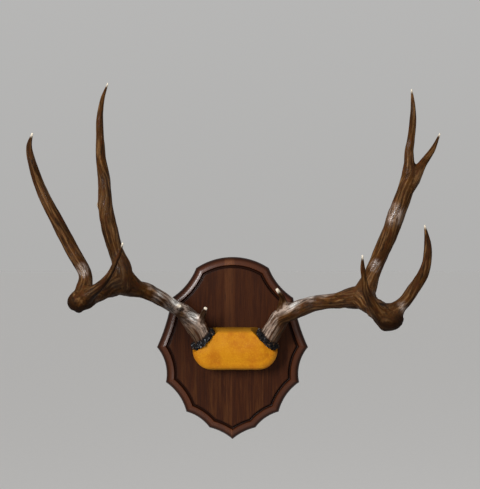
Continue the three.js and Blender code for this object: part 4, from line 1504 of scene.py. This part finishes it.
def make_shield(settings):
    """The shield with its routed moulding, what is let into its back, and where its finish changes."""
    step = settings.step / MM
    mesh = carve("shield", shield_blank(step), back_cutters())
    shade(mesh, 38)
    points = points_of(mesh)
    out = -points[:, 1] / MM
    from_edge = distance_from_edge(points[:, [0, 2]] / MM, step)
    in_pocket = (from_edge > FIELD_INSET) & (out < SHIELD_THICKNESS - FACE_MARGIN)
    on_back = (out < FACE_MARGIN) | in_pocket
    # Painted shade in the routed groove and on the low outer wall.
    in_groove = smooth_step(*GROOVE_STARTS, from_edge) * (1 - 0.43 * smooth_step(*GROOVE_ENDS, from_edge))
    low_wall = (1 - smooth_step(*OUTER_SHADE, from_edge)) * ~on_back * 0.85
    crest = smooth_step(*CREST_STARTS, from_edge) * (1 - smooth_step(*CREST_ENDS, from_edge))
    store(mesh, "back", on_back.astype(float))
    store(mesh, "shaped", ((from_edge < MOULDING_WIDTH) & ~on_back).astype(float))
    store(mesh, "groove_and_edge_shade", np.maximum(in_groove * ~on_back * 0.95, low_wall))
    store(mesh, "crest", crest * ~on_back)
    return mesh


def distance_from_edge(points, step):
    """How far each (x, z) point lies in from the shield's edge, in millimetres."""
    outline = np.array(shield_outline(0, step))
    ends = np.roll(outline, -1, axis=0)
    along = ends - outline
    best = np.full(len(points), np.inf)
    for start, way in zip(outline, along):
        t = np.clip(((points - start) @ way) / (way @ way), 0, 1)
        best = np.minimum(best, np.linalg.norm(points - start - t[:, None] * way, axis=1))
    return best


class TROPHY_OT_shield(bpy.types.Operator):
    """Routs the walnut shield"""

    bl_idname = "trophy.shield"
    bl_label = "Walnut Shield"

    def execute(self, context):
        settings = context.scene.trophy_walnut
        finish_piece("walnut_shield", make_shield(settings), walnut_finish(settings), ["plaque"])
        return {"FINISHED"}


# ------------------------------------------------------------------ hardware on the back

def screw_tree():
    """A threaded screw at every point of the carrier, driven in towards -Y."""
    lengths = ("Thread Length", "Shank Radius", "Thread Height", "Pitch", "Thread Start")
    inputs = [("Blank", "NodeSocketObject", None), ("Material", "NodeSocketMaterial", None)]
    inputs += [(label, "NodeSocketFloat", 2 * MM) for label in lengths]
    tree, given, output = geometry_tree("Driven Screws", inputs)
    blank = node(tree, "GeometryNodeObjectInfo", {"Object": given["Blank"]})
    turns = node(tree, "ShaderNodeMath", {0: given["Thread Length"], 1: given["Pitch"]}, operation="DIVIDE")
    helix_inputs = {
        "Resolution": 14,
        "Rotations": turns.outputs[0],
        "Start Radius": given["Shank Radius"],
        "End Radius": given["Shank Radius"],
        "Height": given["Thread Length"],
    }
    helix = node(tree, "GeometryNodeCurveSpiral", helix_inputs)
    ridge = {"Resolution": 3, "Radius": given["Thread Height"]}
    edge = node(tree, "GeometryNodeCurvePrimitiveCircle", ridge)
    sweep = {"Curve": helix.outputs[0], "Profile Curve": edge.outputs["Curve"], "Fill Caps": True}
    thread = node(tree, "GeometryNodeCurveToMesh", sweep)
    start = node(tree, "ShaderNodeCombineXYZ", {1: given["Thread Start"]})
    set_back = node(tree, "ShaderNodeVectorMath", {0: start.outputs[0], "Scale": -1.0}, operation="SCALE")
    towards_room = {"Translation": set_back.outputs[0], "Rotation": (math.pi / 2, 0, 0)}
    driven = node(tree, "GeometryNodeTransform", {"Geometry": thread.outputs[0], **towards_room})
    whole = node(tree, "GeometryNodeJoinGeometry")
    tree.links.new(blank.outputs["Geometry"], whole.inputs[0])
    tree.links.new(driven.outputs[0], whole.inputs[0])
    places = node(tree, "GeometryNodeMeshToPoints", {"Mesh": given["Geometry"]})
    copies = {"Points": places.outputs[0], "Instance": whole.outputs[0]}
    screws = node(tree, "GeometryNodeInstanceOnPoints", copies)
    close_tree(tree, screws.outputs[0], given["Material"], output[0])
    return tree


def screw_blank(screw):
    """A countersunk screw without its thread, at the middle of the wall side, with a cross recess."""
    head, high, shank = screw["head"] / 2, screw["head_height"], screw["shank"] / 2
    core = shank * CORE_SHARE
    sunk, tip = screw["sunk"], screw["length"]
    profile = [(head - HEAD_SOFTNESS, sunk), (head, sunk + HEAD_SOFTNESS), (head, sunk + HEAD_RIM)]
    profile += [(shank, high), (shank, high + NECK / 2), (core, high + NECK)]
    profile += [(core, tip - 2 * shank), (core * POINT_SHARE, tip)]
    arm, across = head * RECESS["arm"], head * RECESS["across"]
    cutters = []
    for wide, tall in ((across, arm), (arm, across)):
        block = [(x * wide / 2, z * tall / 2) for x, z in ((-1, -1), (1, -1), (1, 1), (-1, 1))]
        taper = [(x * RECESS["taper"], z * RECESS["taper"]) for x, z in block]
        depth = sunk + high * RECESS["depth"]
        cutters.append(stacked("recess", [(block, sunk - PROUD), (block, sunk), (taper, depth)]))
    mesh = carve("screw", bar("screw", 0, 0, profile), cutters)
    shade(mesh, 35)
    return mesh


def driven_screws(name, screw, places, settings, material, stands_for):
    spots = mesh_of("screw places", [tuple(place(x, 0, z)) for x, z in places], [])
    blank = object_of("screw blank", screw_blank(screw))
    thread_start = screw["head_height"] + NECK
    values = {
        "Blank": blank,
        "Thread Length": (screw["length"] - thread_start - screw["shank"]) * MM,
        "Shank Radius": screw["shank"] / 2 * CORE_SHARE * MM,
        "Thread Height": settings.thread_height,
        "Pitch": screw["shank"] * PITCH_SHARE * MM,
        "Thread Start": thread_start * MM,
        "Material": material,
    }
    mesh = grow(name, object_of("screw places", spots), screw_tree(), values)
    bpy.data.objects.remove(blank)
    return finish_piece(name, mesh, material, stands_for)


def make_hanger_plate():
    """The keyhole plate with its screw holes and softened edges."""
    near, far = HANGER["sunk"], HANGER["sunk"] + HANGER["thickness"]
    blank = round_ended("plate", HANGER["z"], HANGER["width"], HANGER["height"], near, far, steps=24)
    holes = [screw_hole(x, z, HANGER_SCREW) for x, z in HANGER_SCREWS]
    carrier = object_of("plate", carve("plate", blank, [*keyhole_cutters(-PROUD, far + PROUD), *holes]))
    soft = {"width": PLATE_SOFTNESS * MM, "segments": 2, "angle_limit": math.radians(50)}
    modify(carrier, "BEVEL", limit_method="ANGLE", **soft)
    mesh = plain_copy(carrier, "plate")
    shade(mesh, 40)
    return mesh


class TROPHY_OT_hardware(bpy.types.Operator):
    """Fits the keyhole plate and the four screws into the back"""

    bl_idname = "trophy.hardware"
    bl_label = "Hanger and Screws"

    def execute(self, context):
        settings = context.scene.trophy_hardware
        zinc = zinc_finish(settings)
        finish_piece("keyhole_plate", make_hanger_plate(), zinc, ["hanger_plate"])
        skull_nodes = ["skull_screw_left", "skull_screw_right"]
        hanger_nodes = ["hanger_screw_lower", "hanger_screw_upper"]
        driven_screws("skull_screws", SKULL_SCREW, SKULL_SCREWS, settings, zinc, skull_nodes)
        driven_screws("hanger_screws", HANGER_SCREW, HANGER_SCREWS, settings, zinc, hanger_nodes)
        return {"FINISHED"}


# ------------------------------------------------------------------ stage

def area_light(name, light, watts):
    lamp = bpy.data.lights.new(name, "AREA")
    lamp.spread = light["spread"]
    lamp.shape = "RECTANGLE"
    lamp.size, lamp.size_y = light["size"]
    lamp.energy = watts
    made = object_of(name, lamp)
    made.location = light["place"]
    made.rotation_euler = (Vector(LIT_POINT) - Vector(light["place"])).to_track_quat("-Z", "Y").to_euler()
    return made


def surroundings(settings):
    """Soft light from all round, brighter from above. At the horizon it is as light as the far floor."""
    world = bpy.data.worlds.new("surroundings")
    world.use_nodes = True
    tree = world.node_tree
    direction = node(tree, "ShaderNodeTexCoord").outputs["Generated"]
    height = node(tree, "ShaderNodeSeparateXYZ", {0: direction}).outputs[2]
    shades = {0: height, 6: (*settings.horizon, 1), 7: (*settings.overhead, 1)}
    mixer = node(tree, "ShaderNodeMix", shades, data_type="RGBA")
    tree.links.new(mixer.outputs[2], tree.nodes["Background"].inputs["Color"])
    return world


class TROPHY_OT_stage(bpy.types.Operator):
    """Sets up the pale floor, the soft lights and the camera"""

    bl_idname = "trophy.stage"
    bl_label = "Stage"

    def execute(self, context):
        settings = context.scene.trophy_stage
        corners = [(-1, -1), (1, -1), (1, 1), (-1, 1)]
        points = [(x * FLOOR_REACH, y * FLOOR_REACH, -settings.floor_drop) for x, y in corners]
        floor = object_of("floor", mesh_of("floor", points, [(0, 1, 2, 3)]))
        floor.data.materials.append(floor_finish(settings))
        context.scene.world = surroundings(settings)
        area_light("key light", KEY_LIGHT, settings.key_power)
        area_light("fill light", FILL_LIGHT, settings.fill_power)
        camera = object_of("camera", bpy.data.cameras.new("camera"))
        camera.data.sensor_fit = "AUTO"
        camera.data.sensor_width = SENSOR
        camera.data.lens = SENSOR * FOCAL_PIXELS / IMAGE_HEIGHT
        camera.data.clip_end = CLIP_END
        camera.location = Vector(CAMERA_PLACE) * MM
        camera.rotation_euler = (math.pi / 2, 0, 0)
        context.scene.camera = camera
        context.scene.view_settings.view_transform = "Standard"
        return {"FINISHED"}


class TROPHY_PT_trophy(bpy.types.Panel):
    """Lists the pieces of the trophy with their settings"""

    bl_label = "Mounted Antlers"
    bl_space_type = "VIEW_3D"
    bl_region_type = "UI"
    bl_category = "Antlers"

    def draw(self, context):
        for operator, group, _ in PIECES:
            box = self.layout.box()
            box.operator(operator.bl_idname)
            settings = getattr(context.scene, group)
            for key in settings.bl_rna.properties.keys():
                if key not in ("rna_type", "name"):
                    box.prop(settings, key)


PIECES = [
    (TROPHY_OT_stage, "trophy_stage", StageSettings),
    (TROPHY_OT_shield, "trophy_walnut", WalnutSettings),
    (TROPHY_OT_skull_cap, "trophy_leather", LeatherSettings),
    (TROPHY_OT_antlers, "trophy_antlers", AntlerSettings),
    (TROPHY_OT_hardware, "trophy_hardware", HardwareSettings),
]


def register():
    for operator, group, settings in PIECES:
        bpy.utils.register_class(settings)
        bpy.utils.register_class(operator)
        setattr(bpy.types.Scene, group, PointerProperty(type=settings))
    bpy.utils.register_class(TROPHY_PT_trophy)


def unregister():
    bpy.utils.unregister_class(TROPHY_PT_trophy)
    for operator, group, settings in reversed(PIECES):
        delattr(bpy.types.Scene, group)
        bpy.utils.unregister_class(operator)
        bpy.utils.unregister_class(settings)


def main():
    register()
    bpy.ops.trophy.stage()
    bpy.ops.trophy.shield()
    bpy.ops.trophy.skull_cap()
    bpy.ops.trophy.antlers()
    bpy.ops.trophy.hardware()


if __name__ == "__main__":
    main()
